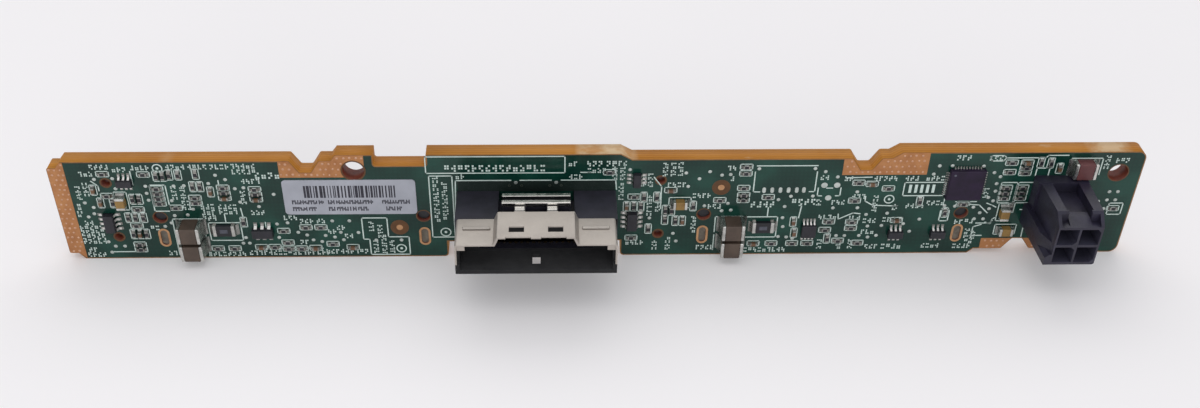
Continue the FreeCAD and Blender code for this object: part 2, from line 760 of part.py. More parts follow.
# ---- soldered parts ----
def two_ended(x, z, length, width, height, terminal, turned):
    """Body and the two end terminals of a chip that lies on the front face."""
    run, across = (width, length) if turned else (length, width)
    x0, x1 = x - run / 2, x + run / 2
    z0, z1 = z - across / 2, z + across / 2
    if turned:
        body = block(x0, x1, -height, 0, z0 + terminal, z1 - terminal)
        ends = [block(x0, x1, -height, 0, z0, z0 + terminal), block(x0, x1, -height, 0, z1 - terminal, z1)]
    else:
        body = block(x0 + terminal, x1 - terminal, -height, 0, z0, z1)
        ends = [block(x0, x0 + terminal, -height, 0, z0, z1), block(x1 - terminal, x1, -height, 0, z0, z1)]
    return body, ends


def chip_group(places, height):
    """Small chips, each one solid; their metal ends are only a film."""
    chips = []
    for start, offset, down, turned in places:
        run, across = (chip_width, chip_length) if turned else (chip_length, chip_width)
        x = start + offset
        chips.append(block(x - run / 2, x + run / 2, -height, 0, -down - across / 2, -down + across / 2))
    return chips


def gull_lead(x, out, pitch, body_face, height):
    """One bent lead from the side of a package down to the board."""
    t = lead_thickness
    mid = height / 2
    toe = body_face + out * lead_reach
    heel = body_face + out * lead_bend
    points = [(0, toe), (-t, toe), (-t, heel), (-mid - t / 2, body_face), (-mid + t / 2, body_face),
              (0, heel - out * t)]
    width = pitch * lead_share
    return side_prism(points, x - width / 2, x + width / 2)


def package(x, z, length, width, height, leads, pitch, upright):
    """A moulded package with bent leads along both long sides."""
    half = length / 2
    side = width / 2
    mid = -height / 2
    draft = package_draft
    outline = [(-package_standoff, z - side + draft), (mid, z - side), (-height, z - side + draft),
               (-height, z + side - draft), (mid, z + side), (-package_standoff, z + side - draft)]
    body = side_prism(outline, x - half, x + half)
    feet = []
    for out in (-1, 1):
        for i in range(leads):
            lead_x = x + (i - (leads - 1) / 2) * pitch
            feet.append(gull_lead(lead_x, out, pitch, z + out * side, height))
    if upright:
        for shape in [body] + feet:
            shape.rotate(V(x, 0, z), V(0, 1, 0), 90)
    return body, feet


def controller_chip():
    x = right_bay + controller_from_bay
    z = -controller_down
    half = controller_size / 2
    body = block(x - half, x + half, -controller_height, -controller_standoff, z - half, z + half)
    front_edges = [e for e in body.Edges if e.CenterOfMass.y < -controller_height + 1e-6]
    body = body.makeChamfer(controller_edge, front_edges)
    pads = []
    w = controller_pad_width / 2
    for i in range(controller_pads):
        shift = (i - (controller_pads - 1) / 2) * controller_pad_pitch
        for side in (-1, 1):
            edge = half + controller_pad_reach
            pads.append(block(x + shift - w, x + shift + w, -controller_pad_height, 0,
                              z + side * half, z + side * edge))
            pads.append(block(x + side * half, x + side * edge, -controller_pad_height, 0,
                              z + shift - w, z + shift + w))
    return body, pads


def label():
    x = left_bay + label_from_bay
    end = data_x - shell_half_width - base_side_step - label_to_connector
    z = -label_down
    return block(x, end, -label_thickness, 0, z - label_height, z)


# ---- assembly ----
def export(name, shapes):
    """Write one node, moved so that the left screw hole is the origin."""
    shape = Part.makeCompound(shapes) if isinstance(shapes, list) else shapes
    shape = shape.copy()
    shape.translate(V(-screw_x, 0, -screw_z))
    shape.exportStep("parts/" + name + ".step")


os.makedirs("parts", exist_ok=True)
export("circuit_board", circuit_board())

for name, bay in (("left", left_bay), ("right", right_bay)):
    export(name + "_receptacle_housing", receptacle_housing(bay))
    export(name + "_receptacle_signal_contacts",
           contact_row(bay, -signal_start, signal_contacts, contact_pitch, 1, -1, wide_contact))
    export(name + "_receptacle_power_contacts",
           contact_row(bay, -power_start, power_contacts, contact_pitch, 1, -1, wide_contact))
    export(name + "_receptacle_second_contacts",
           contact_row(bay, -second_port_start, signal_contacts, -fine_contact_pitch, 1, 1, narrow_contact))
    export(name + "_receptacle_board_locks", board_locks(bay))

export("data_connector_housing", data_connector_housing())
export("data_connector_shell", data_connector_shell())
export("data_connector_latch_channel", latch_channel())
export("data_connector_upper_contacts", data_contact_row(1))
export("data_connector_lower_contacts", data_contact_row(-1))

export("power_header_housing", power_header_housing())
export("power_header_pins", power_pins())

for name, bay in (("left", left_bay), ("right", right_bay)):
    for row, level in (("upper", 0), ("lower", 1)):
        down = capacitor_down + capacitor_width / 2 + level * (capacitor_width + capacitor_gap)
        body, ends = two_ended(bay + capacitor_from_bay, -down, capacitor_length, capacitor_width,
                               capacitor_height, capacitor_terminal, False)
        export(name + "_" + row + "_bulk_capacitor_body", body)
        export(name + "_" + row + "_bulk_capacitor_ends", ends)
    body, ends = two_ended(bay + shunt_from_bay, -shunt_down, shunt_length, shunt_width, shunt_height,
                           shunt_terminal, False)
    export(name + "_shunt_resistor_body", body)
    export(name + "_shunt_resistor_ends", ends)

body, ends = two_ended(right_bay + filter_capacitor_from_bay, -filter_capacitor_down - capacitor_width / 2,
                       capacitor_length, capacitor_width, filter_capacitor_height, capacitor_terminal, False)
export("filter_capacitor_body", body)
export("filter_capacitor_ends", ends)

medium = [two_ended(start + offset, -down, medium_length, medium_width, medium_height, medium_terminal,
                    turned)
          for start, offset, down, turned in MEDIUM_CAPACITORS]
export("medium_capacitor_bodies", [body for body, ends in medium])
export("medium_capacitor_ends", [end for body, ends in medium for end in ends])

resistors = [(left_bay,) + p for p in LEFT_RESISTORS] + [(right_bay,) + p for p in RIGHT_RESISTORS] \
    + [(beside_data,) + p for p in CONNECTOR_RESISTORS]
capacitors = [(left_bay,) + p for p in LEFT_CAPACITORS] + [(right_bay,) + p for p in RIGHT_CAPACITORS] \
    + [(beside_data,) + p for p in CONNECTOR_CAPACITORS]
export("chip_resistors", chip_group(resistors, resistor_height))
export("chip_capacitors", chip_group(capacitors, chip_capacitor_height))

for node in sorted({row[0] for row in PACKAGES}):
    built = [package(start + offset, -down, length, width, height, leads, pitch, upright)
             for name, start, offset, down, length, width, height, leads, pitch, upright in PACKAGES
             if name == node]
    export(node + "_bodies", [body for body, feet in built])
    export(node + "_leads", [foot for body, feet in built for foot in feet])

body, pads = controller_chip()
export("controller_chip_body", body)
export("controller_chip_pads", pads)
export("label", label())
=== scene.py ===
import bpy
import bmesh
import random
from math import cos, pi, radians, sin
from mathutils import Matrix, Vector
from mathutils.geometry import tessellate_polygon


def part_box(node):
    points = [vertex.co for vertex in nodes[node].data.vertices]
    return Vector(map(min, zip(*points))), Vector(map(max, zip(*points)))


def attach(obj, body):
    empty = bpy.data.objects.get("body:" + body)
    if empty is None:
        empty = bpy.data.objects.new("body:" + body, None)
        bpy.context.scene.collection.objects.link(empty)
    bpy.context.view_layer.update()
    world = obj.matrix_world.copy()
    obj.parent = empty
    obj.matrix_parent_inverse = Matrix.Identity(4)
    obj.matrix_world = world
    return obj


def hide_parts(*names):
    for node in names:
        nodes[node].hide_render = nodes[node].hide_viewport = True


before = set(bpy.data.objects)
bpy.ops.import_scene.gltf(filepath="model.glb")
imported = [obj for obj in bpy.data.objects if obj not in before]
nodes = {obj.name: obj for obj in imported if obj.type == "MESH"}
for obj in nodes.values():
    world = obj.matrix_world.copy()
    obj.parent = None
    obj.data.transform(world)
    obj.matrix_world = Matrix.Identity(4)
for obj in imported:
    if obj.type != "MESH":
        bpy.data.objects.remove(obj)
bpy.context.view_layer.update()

# Lengths are in mm on the board: a runs from its left end, z up from its main top edge, and films are
# laid on its front and rear faces. at() turns them into the scene's metres.
MM = 0.001
board_low, board_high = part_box("circuit_board")
RAISED = 0.95                     # raised stretches of the top edge, above the main one
LEFT = board_low.x / MM
TOP = board_high.z / MM - RAISED
FRONT = board_low.y
REAR = board_high.y

# heights of the films, in mm
INK_FILM = 0.02
COPPER_FILM = 0.03
RIM_FILM = 0.008
PRINT_FILM = 0.012
MARK_FILM = 0.01


def at(a, z, y):
    """A point on the board: a and z in mm from its left end and main top edge, y in metres."""
    return Vector(((LEFT + a) * MM, y, (TOP + z) * MM))


def along(x):
    return x / MM - LEFT


def up(z):
    return z / MM - TOP


def middle_of(low, high):
    """The middle of a box as a and z."""
    return along((low.x + high.x) / 2), up((low.z + high.z) / 2)


# ---------- materials ----------
def srgb(r, g, b):
    """A tone on the usual 0 to 255 scale as the linear values that a shader takes."""
    shares = [v / 255 for v in (r, g, b)]
    return tuple(v / 12.92 if v < 0.0405 else ((v + 0.055) / 1.055) ** 2.4 for v in shares) + (1,)


def scaled(tone, factor):
    return srgb(*[min(255, int(v * factor)) for v in tone])


class Surface:
    """A node material built up from a few procedural layers in object coordinates."""

    def __init__(self, name, rough=0.5, metallic=0.0, specular=0.5):
        self.mat = bpy.data.materials.new(name)
        self.mat.use_nodes = True
        self.nodes = self.mat.node_tree.nodes
        self.links = self.mat.node_tree.links
        self.shader = self.nodes["Principled BSDF"]
        self.shader.inputs["Roughness"].default_value = rough
        self.shader.inputs["Metallic"].default_value = metallic
        self.shader.inputs["Specular IOR Level"].default_value = specular
        self.coords = self.nodes.new("ShaderNodeTexCoord").outputs["Object"]

    def add(self, kind, values, **settings):
        """A node with its settings and with a number or another node's output on each named input."""
        node = self.nodes.new(kind)
        for key, value in settings.items():
            setattr(node, key, value)
        for key, value in values.items():
            if hasattr(value, "is_linked"):
                self.links.new(value, node.inputs[key])
            else:
                node.inputs[key].default_value = value
        return node

    def stretched(self, x, y, z):
        return self.add("ShaderNodeMapping", {"Vector": self.coords, "Scale": (x, y, z)}).outputs["Vector"]

    def noise(self, scale, detail, coords=None):
        values = {"Vector": coords or self.coords, "Scale": scale, "Detail": detail, "Roughness": 0.55}
        return self.add("ShaderNodeTexNoise", values).outputs["Fac"]

    def wave(self, direction, scale, distortion, detail, detail_scale=1.0):
        values = {"Vector": self.coords, "Scale": scale, "Distortion": distortion, "Detail": detail,
                  "Detail Scale": detail_scale}
        return self.add("ShaderNodeTexWave", values, bands_direction=direction).outputs["Fac"]

    def ramp(self, fac, stops):
        node = self.add("ShaderNodeValToRGB", {"Fac": fac})
        while len(node.color_ramp.elements) < len(stops):
            node.color_ramp.elements.new(0.5)
        for element, (place, colour) in zip(node.color_ramp.elements, stops):
            element.position = place
            element.color = colour
        return node.outputs["Color"]

    def mix(self, fac, a, b):
        return self.add("ShaderNodeMix", {0: fac, 6: a, 7: b}, data_type="RGBA").outputs[2]

    def math(self, operation, a, b=0.0):
        return self.add("ShaderNodeMath", {0: a, 1: b}, operation=operation).outputs[0]

    def remap(self, fac, low, high, to_low, to_high):
        values = {0: fac, 1: low, 2: high, 3: to_low, 4: to_high}
        return self.add("ShaderNodeMapRange", values).outputs[0]

    def colour(self, value):
        self.links.new(value, self.shader.inputs["Base Color"])

    def roughness(self, value):
        self.links.new(value, self.shader.inputs["Roughness"])

    def bump(self, height, strength, distance):
        values = {"Height": height, "Strength": strength, "Distance": distance}
        self.links.new(self.add("ShaderNodeBump", values).outputs["Normal"], self.shader.inputs["Normal"])


def plain(name, dark, light, scale, rough, metallic=0.0, grain=0.15, specular=0.5, grain_scale=None):
    """Two close tones in soft patches, a fine grain in the bump, and a roughness that varies with both."""
    s = Surface(name, rough, metallic, specular)
    patches = s.noise(scale, 4)
    fine = s.noise(grain_scale or scale * 9, 3)
    s.colour(s.ramp(patches, [(0.32, srgb(*dark)), (0.68, srgb(*light))]))
    s.roughness(s.remap(fine, 0.3, 0.7, rough - 0.08, rough + 0.08))
    s.bump(fine, grain, 0.02 * MM)
    return s.mat


def moulded(name, dark, light, scale, rough, grain, specular=0.5, grain_scale=5200):
    """Moulded plastic."""
    return plain(name, dark, light, scale, rough, 0.0, grain, specular, grain_scale)


def mask_material():
    """Glossy green solder mask over copper and glass fabric: soft darker and lighter areas, a faint weave."""
    s = Surface("solder_mask", 0.18, 0.0, 0.36)
    area = s.noise(150, 2)
    weave = s.math("MULTIPLY", s.wave("X", 520, 0.6, 1.0), s.wave("Z", 470, 0.6, 1.0))
    base = s.ramp(area, [(0.36, srgb(9, 42, 35)), (0.5, srgb(13, 51, 42)), (0.66, srgb(21, 65, 54))])
    s.colour(s.mix(s.math("MULTIPLY", weave, 0.1), base, srgb(28, 84, 68)))
    fine = s.noise(2600, 3)
    s.roughness(s.remap(fine, 0.3, 0.7, 0.12, 0.24))
    s.bump(s.math("ADD", s.math("MULTIPLY", weave, 0.5), fine), 0.06, 0.01 * MM)
    return s.mat


def laminate_material():
    """The cut edge: pressed layers of glass and resin, paler along given lengths and in scattered spots."""
    s = Surface("laminate_edge", 0.6, 0.0, 0.35)
    layers = s.wave("Y", 640, 1.5, 2.0, 2.0)
    base = s.ramp(layers, [(0.1, srgb(160, 99, 22)), (0.5, srgb(172, 110, 30)), (0.9, srgb(181, 121, 38))])
    stain = s.ramp(s.noise(60, 3), [(0.4, srgb(162, 102, 24)), (0.62, srgb(192, 132, 52))])
    base = s.mix(0.4, base, stain)
    # paler lengths along the edge: start, end and strength of each
    x = s.add("ShaderNodeSeparateXYZ", {"Vector": s.coords}).outputs["X"]
    ragged = s.noise(380, 4)
    pale_lengths = None
    for start, end, strength in ((15.0, 17.4, 0.25), (71.9, 80.8, 1.0), (142.8, 149.4, 0.8)):
        middle = (LEFT + (start + end) / 2) * MM
        off = s.math("ABSOLUTE", s.math("SUBTRACT", x, middle))
        patch = s.remap(off, (end - start) / 2 * MM, (end - start) / 2 * MM - 1.2 * MM, 0.0, strength)
        pale_lengths = patch if pale_lengths is None else s.math("MAXIMUM", pale_lengths, patch)
    pale_lengths = s.math("MULTIPLY", pale_lengths, s.remap(ragged, 0.36, 0.56, 0.25, 0.95))
    spots = s.remap(s.noise(220, 4, coords=s.stretched(1, 2.2, 1)), 0.68, 0.8, 0.0, 0.6)
    s.colour(s.mix(s.math("MAXIMUM", pale_lengths, spots), base, srgb(206, 180, 142)))
    fine = s.noise(1800, 3, coords=s.stretched(0.5, 2.0, 0.5))
    s.roughness(s.remap(fine, 0.3, 0.7, 0.48, 0.72))
    s.bump(s.math("ADD", s.math("MULTIPLY", layers, 0.4), fine), 0.25, 0.03 * MM)
    return s.mat


def brushed(name, dark, light, rough, tarnish, direction=(900, 60, 900)):
    """Rolled sheet metal with fine streaks and a light tarnish."""
    s = Surface(name, rough, 1.0)
    streaks = s.noise(8, 3, coords=s.stretched(*direction))
    patches = s.noise(260, 3)
    base = s.ramp(streaks, [(0.3, srgb(*dark)), (0.7, srgb(*light))])
    s.colour(s.mix(s.remap(patches, 0.45, 0.75, 0.0, tarnish), base, scaled(dark, 0.72)))
    s.roughness(s.remap(streaks, 0.25, 0.75, rough - 0.07, rough + 0.1))
    s.bump(streaks, 0.06, 0.01 * MM)
    return s.mat


def ceramic(name, dark, light):
    """Fired ceramic: close speckle and a soft waxy surface."""
    s = Surface(name, 0.5, 0.0, 0.45)
    speckle = s.noise(5200, 2)
    tone = s.noise(420, 3)
    base = s.ramp(tone, [(0.3, srgb(*dark)), (0.7, srgb(*light))])
    s.colour(s.mix(s.remap(speckle, 0.5, 0.8, 0.0, 0.3), base, scaled(light, 1.25)))
    s.roughness(s.remap(speckle, 0.3, 0.7, 0.42, 0.58))
    s.bump(speckle, 0.12, 0.01 * MM)
    return s.mat


MASK = mask_material()
LAMINATE = laminate_material()
HOLE_WALL = plain("hole_wall", (84, 28, 8), (112, 42, 14), 900, 0.6)
BARE_RING = plain("bare_laminate", (75, 44, 10), (95, 58, 16), 700, 0.5)
RIM = plain("mask_margin", (124, 82, 38), (152, 104, 52), 700, 0.55)
# a darker, neutral mask tone: painted shade for the band above the data connector
PAINTED_SHADE_MASK = plain("mask_painted_shade", (30, 40, 37), (38, 47, 44), 600, 0.22, specular=0.36)
TENTED = plain("tented_via", (50, 56, 50), (64, 70, 62), 900, 0.4)
COPPER = plain("bare_copper", (164, 108, 66), (188, 132, 84), 500, 0.45, 0.45, 0.3)
COPPER_BRIGHT = plain("copper_ring", (174, 126, 86), (198, 152, 110), 900, 0.42, 0.4)
DOT_SOLDER = plain("dot_solder", (186, 138, 106), (210, 166, 136), 900, 0.38, 0.35, specular=0.6)
TINNED = plain("tinned_via", (168, 176, 170), (206, 212, 206), 900, 0.34, 0.55, specular=0.6)
SOLDER = plain("solder", (122, 122, 118), (168, 168, 163), 1100, 0.26, 0.9, 0.25)
GREY_SOLDER = plain("grey_solder", (92, 86, 78), (128, 120, 108), 1200, 0.42, 0.8, 0.4)
INK = plain("white_ink", (188, 205, 196), (213, 226, 219), 1200, 0.6, grain=0.2, specular=0.35)
SHELL = plain("shell_metal", (168, 160, 152), (180, 172, 163), 210, 0.42, 0.6, 0.12, grain_scale=3600)
# a slightly darker copy of the shell metal: painted shade that tones down the ridges' highlights
RIDGE_SHADED_METAL = plain("ridge_metal_painted_shade", (162, 155, 147), (176, 169, 161), 300, 0.4, 0.6, 0.1, grain_scale=3600)
STRIP = brushed("strip_metal", (214, 210, 203), (232, 229, 223), 0.2, 0.1, (30, 400, 400))
# painted shade: a dark metal for the latch channel's groove and the slots beside the straps
GROOVE_PAINTED_SHADE = plain("groove_painted_shade", (20, 19, 21), (34, 32, 34), 700, 0.5, 0.3)
# a much darker gold: painted shade for the contacts deep in the data connector's mouth
GOLD_PAINTED_SHADE = brushed("gold_painted_shade", (50, 40, 26), (68, 56, 38), 0.45, 0.15)
TERMINAL = plain("end_terminal", (176, 175, 170), (214, 213, 208), 1300, 0.26, 0.95, 0.2)
SMALL_TERMINAL = plain("small_terminal", (126, 123, 118), (176, 174, 168), 2600, 0.27, 0.85, 0.2)
GOLD = brushed("gold_contact", (196, 150, 72), (226, 186, 108), 0.26, 0.15)
LEAD = brushed("tinned_lead", (206, 204, 200), (234, 232, 228), 0.38, 0.1, (900, 900, 60))
PIN = brushed("pin_metal", (168, 160, 140), (206, 198, 176), 0.3, 0.2)
DATA_PLASTIC = moulded("data_plastic", (37, 37, 44), (49, 48, 58), 420, 0.42, 0.25, 0.35)
# a darker copy of the housing plastic: painted shade on the mouth's rim and front walls
MOUTH_PLASTIC_PAINTED_SHADE = moulded("mouth_plastic_painted_shade", (27, 27, 28), (36, 36, 37), 420, 0.55, 0.2, 0.2)
# a lighter copy of the housing plastic: painted light on the mouth's floor and in the card slot
MOUTH_FLOOR_PAINTED_LIGHT = moulded("mouth_floor_painted_light", (53, 53, 54), (64, 64, 65), 420, 0.6, 0.2, 0.2)
HEADER_PLASTIC = moulded("header_plastic", (29, 27, 39), (42, 39, 57), 380, 0.42, 0.22, 0.45)
# a lighter copy of the header plastic: painted light inside the pin pockets
HEADER_POCKETS_PAINTED_LIGHT = moulded("header_pockets_painted_light", (50, 49, 64), (62, 61, 78), 380, 0.6, 0.22)
RECEPTACLE_PLASTIC = moulded("receptacle_plastic", (22, 22, 25), (34, 34, 38), 380, 0.48, 0.28, 0.5, 4800)
PACKAGE = moulded("moulded_package", (24, 23, 29), (36, 34, 42), 900, 0.5, 0.3, 0.5, 7000)
CONTROLLER = moulded("moulded_controller", (22, 10, 32), (36, 20, 48), 700, 0.42, 0.25, 0.3, 7000)
BROWN = ceramic("brown_ceramic", (64, 52, 44), (86, 71, 60))
RED = ceramic("red_ceramic", (76, 39, 41), (98, 54, 54))
TAN = ceramic("tan_ceramic", (122, 92, 44), (154, 122, 66))
CHIP_TAN = ceramic("chip_ceramic", (86, 61, 44), (118, 88, 63))
RESISTOR = plain("resistor_film", (16, 16, 21), (28, 28, 35), 1500, 0.4, grain=0.2)
ALUMINA = plain("white_alumina", (190, 190, 186), (214, 214, 210), 1500, 0.6, grain=0.2)
PAPER = plain("label_paper", (156, 158, 166), (171, 173, 181), 240, 0.5, 0.0, 0.2, 0.4, 4200)
LABEL_INK = plain("label_ink", (30, 29, 38), (50, 48, 60), 1800, 0.6)
MARK = plain("part_mark", (62, 63, 72), (88, 89, 100), 1600, 0.6)


def refinish(node, material):
    """Gives a CAD node its material; its mesh stays as it is."""
    nodes[node].data.materials.clear()
    nodes[node].data.materials.append(material)


refinish("power_header_pins", PIN)
for node in nodes:
    # the data connector's contacts get the dark gold of painted shade
    if node.startswith("data_connector") and "contacts" in node:
        refinish(node, GOLD_PAINTED_SHADE)
    elif node.endswith(("board_locks", "_leads", "chip_pads")):
        refinish(node, LEAD)
    elif "receptacle" in node:
        refinish(node, GOLD if "contacts" in node else RECEPTACLE_PLASTIC)


# ---------- building pieces ----------
def piece(name, mesh, materials, replaces=()):
    for material in materials:
        mesh.materials.append(material)
    thing = bpy.data.objects.new(name, mesh)
    bpy.context.scene.collection.objects.link(thing)
    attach(thing, "root")
    if replaces:
        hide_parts(*replaces)
    return thing


def rounded(thing, width, segments=2, angle=30):
    """Softens the hard edges of a piece and keeps its flats flat."""
    for polygon in thing.data.polygons:
        polygon.use_smooth = True
    bevel = thing.modifiers.new("edges", "BEVEL")
    bevel.width = width * MM
    bevel.segments = segments
    bevel.limit_method = "ANGLE"
    bevel.angle_limit = radians(angle)
    bevel.harden_normals = True
    bevel.use_clamp_overlap = True
    return thing


def welded(node):
    """A copy of a node's mesh whose triangles share their corners."""
    work = bmesh.new()
    work.from_mesh(nodes[node].data)
    bmesh.ops.remove_doubles(work, verts=work.verts, dist=0.002 * MM)
    return work


def clean_copy(node, flat=1.0):
    """The node's shape with its triangles joined back into flat faces."""
    work = welded(node)
    bmesh.ops.dissolve_limit(work, angle_limit=radians(flat), verts=work.verts, edges=work.edges)
    mesh = bpy.data.meshes.new(node + "_shape")
    work.to_mesh(mesh)
    work.free()
    for name in ("custom_normal", "sharp_face", "sharp_edge"):
        if name in mesh.attributes:
            mesh.attributes.remove(mesh.attributes[name])
    for face in mesh.polygons:
        face.material_index = 0
    return mesh


def dress(node, slot, material, width, segments=2):
    """A piece that stands for a CAD node with its edges rounded."""
    return rounded(piece(node + "_dressed", clean_copy(node), [material], [node]), width, segments)


def shade(thing, material, chosen):
    """Gives another material, one with painted light or shade, to the faces that the test picks by their
    middle and normal.
    """
    thing.data.materials.append(material)
    number = len(thing.data.materials) - 1
    for polygon in thing.data.polygons:
        if chosen(polygon.center, polygon.normal):
            polygon.material_index = number


def groups_of(items, neighbours):
    """Groups of items that hang together, in the order of their first items."""
    seen = set()
    groups = []
    for start in items:
        if start in seen:
            continue
        group = [start]
        seen.add(start)
        for item in group:
            for other in neighbours(item):
                if other not in seen:
                    seen.add(other)
                    group.append(other)
        groups.append(group)
    return groups


def solids(node):
    """Lowest and highest corner of each separate solid of a node."""
    work = welded(node)
    boxes = []
    for group in groups_of(work.verts, lambda vert: [edge.other_vert(vert) for edge in vert.link_edges]):
        axes = list(zip(*[vert.co for vert in group]))
        boxes.append((Vector([min(axis) for axis in axes]), Vector([max(axis) for axis in axes])))
    work.free()
    return boxes


class Build:
    """Faces gathered into one mesh, each with its material's number."""

    def __init__(self):
        self.points = []
        self.faces = []
        self.kinds = []

    def face(self, corners, kind=0):
        """A face through points that are already there, by their numbers."""
        self.faces.append(corners)
        self.kinds.append(kind)

    def block(self, low, high, kind=0):
        start = len(self.points)
        xs, ys, zs = zip(low, high)
        self.points += [(x, y, z) for x in xs for y in ys for z in zs]
        for f in ((0, 1, 3, 2), (4, 6, 7, 5), (0, 4, 5, 1), (2, 3, 7, 6), (0, 2, 6, 4), (1, 5, 7, 3)):
            self.face([start + i for i in f], kind)

    def film(self, loops, height=INK_FILM, kind=0, rear=False, face=None):
        """A flat layer on the board's front or rear from loops of (a, z); loops after the first are holes."""
        base = (REAR if rear else FRONT) if face is None else face
        out = base + height * MM * (1 if rear else -1)
        start = len(self.points)
        flat = [p for loop in loops for p in loop]
        for y in (out, base):
            self.points += [tuple(at(a, z, y)) for a, z in flat]
        count = len(flat)
        for tri in tessellate_polygon([[Vector((a, z, 0)) for a, z in loop] for loop in loops]):
            p, q, r = (Vector(flat[i]) for i in tri)
            turn = (q - p).x * (r - p).y - (q - p).y * (r - p).x
            tri = tri if (turn > 0) != rear else tri[::-1]
            self.face([start + i for i in tri], kind)
        first = 0
        for loop in loops:
            size = len(loop)
            for i in range(size):
                p, q = start + first + i, start + first + (i + 1) % size
                self.face([p, count + p, count + q, q], kind)
            first += size

    def rect(self, a0, a1, z0, z1, height=INK_FILM, rear=False, face=None):
        self.film([[(a0, z0), (a1, z0), (a1, z1), (a0, z1)]], height, rear=rear, face=face)

    def line(self, points, width=0.16, rear=False, closed=False):
        """A drawn line through (a, z) points; its ends are square."""
        half = width / 2
        pairs = list(zip(points, points[1:] + points[:1] if closed else points[1:]))
        for (a0, z0), (a1, z1) in pairs:
            step = Vector((a1 - a0, z1 - z0)).normalized() * half
            side = Vector((-step.y, step.x))
            p = Vector((a0, z0)) - step
            q = Vector((a1, z1)) + step
            self.film([[tuple(p - side), tuple(q - side), tuple(q + side), tuple(p + side)]], rear=rear)

    def box_line(self, a0, a1, z0, z1, width=0.16):
        self.line([(a0, z0), (a1, z0), (a1, z1), (a0, z1)], width, closed=True)

    def disc(self, a, z, radius, height=INK_FILM, sides=14):
        self.film([circle(a, z, radius, sides)], height)

    def ring(self, a, z, inner, outer, height=INK_FILM, kind=0, rear=False, sides=28):
        self.film([circle(a, z, outer, sides), circle(a, z, inner, sides)], height, kind, rear)

    def dome(self, a, z, radius, height, rear=False, sides=12, base=0.0):
        """A small solder dome, standing on the front or rear face."""
        sign = 1 if rear else -1
        y0 = (REAR if rear else FRONT) + base * MM * sign
        rows = [(1.0, 0.0), (0.86, 0.62), (0.5, 0.93)]
        start = len(self.points)
        for share, lift in rows:
            self.points += [tuple(at(p, q, y0 + sign * lift * height * MM))
                            for p, q in circle(a, z, radius * share, sides)]
        self.points.append(tuple(at(a, z, y0 + sign * height * MM)))
        for row in range(len(rows) - 1):
            for i in range(sides):
                p, q = start + row * sides + i, start + row * sides + (i + 1) % sides
                quad = [p, q, q + sides, p + sides]
                self.face(quad[::-1] if rear else quad)
        top = start + len(rows) * sides
        for i in range(sides):
            tri = [top - sides + i, top - sides + (i + 1) % sides, top]
            self.face(tri[::-1] if rear else tri)

    def wedge(self, low, high, axis, side, rise, reach):
        """Concave solder from the end of a part down to the board; low and high are the part's box."""
        other = 2 - axis
        edge = high[axis] if side > 0 else low[axis]
        curve = ((0.0, 0.0), (1.0, 0.0), (0.62, 0.16), (0.28, 0.45), (0.0, 1.0))
        rings = []
        for across in (low[other], high[other]):
            ring = []
            for out, lift in curve:
                p = [0.0, FRONT - lift * rise * MM, 0.0]
                p[axis] = edge + side * out * reach * MM
                p[other] = across
                ring.append(tuple(p))
            rings.append(ring)
        start = len(self.points)
        self.points += rings[0] + rings[1]
        n = len(curve)
        for i in range(n):
            j = (i + 1) % n
            self.face([start + i, start + j, start + n + j, start + n + i])
        self.face([start + i for i in range(n)][::-1])
        self.face([start + n + i for i in range(n)])

    def done(self, name, materials, replaces=(), smooth=False):
        mesh = bpy.data.meshes.new(name)
        mesh.from_pydata(self.points, [], self.faces)
        for face, kind in zip(mesh.polygons, self.kinds):
            face.material_index = kind
            face.use_smooth = smooth
        work = bmesh.new()
        work.from_mesh(mesh)
        bmesh.ops.recalc_face_normals(work, faces=work.faces)
        work.to_mesh(mesh)
        work.free()
        return piece(name, mesh, materials, replaces)


def circle(a, z, radius, sides):
    turns = [2 * pi * i / sides for i in range(sides)]
    return [(a + radius * cos(turn), z + radius * sin(turn)) for turn in turns]


def pill(a, z, width, length, sides=10, turned=False):
    """Outline of a slot with round ends, upright unless turned."""
    r = width / 2
    run = length / 2 - r
    loop = [(r * cos(pi * i / sides), run + r * sin(pi * i / sides)) for i in range(sides + 1)]
    loop += [(-x, -y) for x, y in loop]
    return [(a + y, z - x) if turned else (a + x, z + y) for x, y in loop]


def inside(a, z, loop):
    """Whether a point lies in a loop: a ray from it crosses the loop an odd number of times."""
    hit = False
    for (x0, y0), (x1, y1) in zip(loop, loop[1:] + loop[:1]):
        if (y0 > z) != (y1 > z) and a < x0 + (z - y0) * (x1 - x0) / (y1 - y0):
            hit = not hit
    return hit


# ---------- the board ----------
WIDEST_HOLE = 20
MASK_MARGIN = 0.15


def board():
    """The board with mask on its two faces, a bare margin round them, laminate edges and dark hole walls."""
    materials = MASK, LAMINATE, HOLE_WALL, RIM
    source = clean_copy("circuit_board", 0.2)
    work = bmesh.new()
    work.from_mesh(source)
    bpy.data.meshes.remove(source)
    work.normal_update()
    rim = {face for face in work.faces if abs(face.normal.y) < 0.7}

    def beside(face):
        return [other for edge in face.edges for other in edge.link_faces if other in rim]

    # walls of the holes are joined in loops that never reach the outline
    for group in groups_of(rim, beside):
        across = [vert.co.x for face in group for vert in face.verts]
        is_hole = max(across) - min(across) < WIDEST_HOLE * MM
        for face in group:
            face.material_index = materials.index(HOLE_WALL if is_hole else LAMINATE)
    for front in (-1, 1):
        flat = [face for face in work.faces if face.normal.y * front > 0.7]
        margin = bmesh.ops.inset_region(work, faces=flat, thickness=MASK_MARGIN * MM, use_even_offset=True)
        for face in margin["faces"]:
            face.material_index = materials.index(RIM)
    mesh = bpy.data.meshes.new("board_dressed")
    work.to_mesh(mesh)
    work.free()
    piece("board_dressed", mesh, materials, ["circuit_board"])


board()

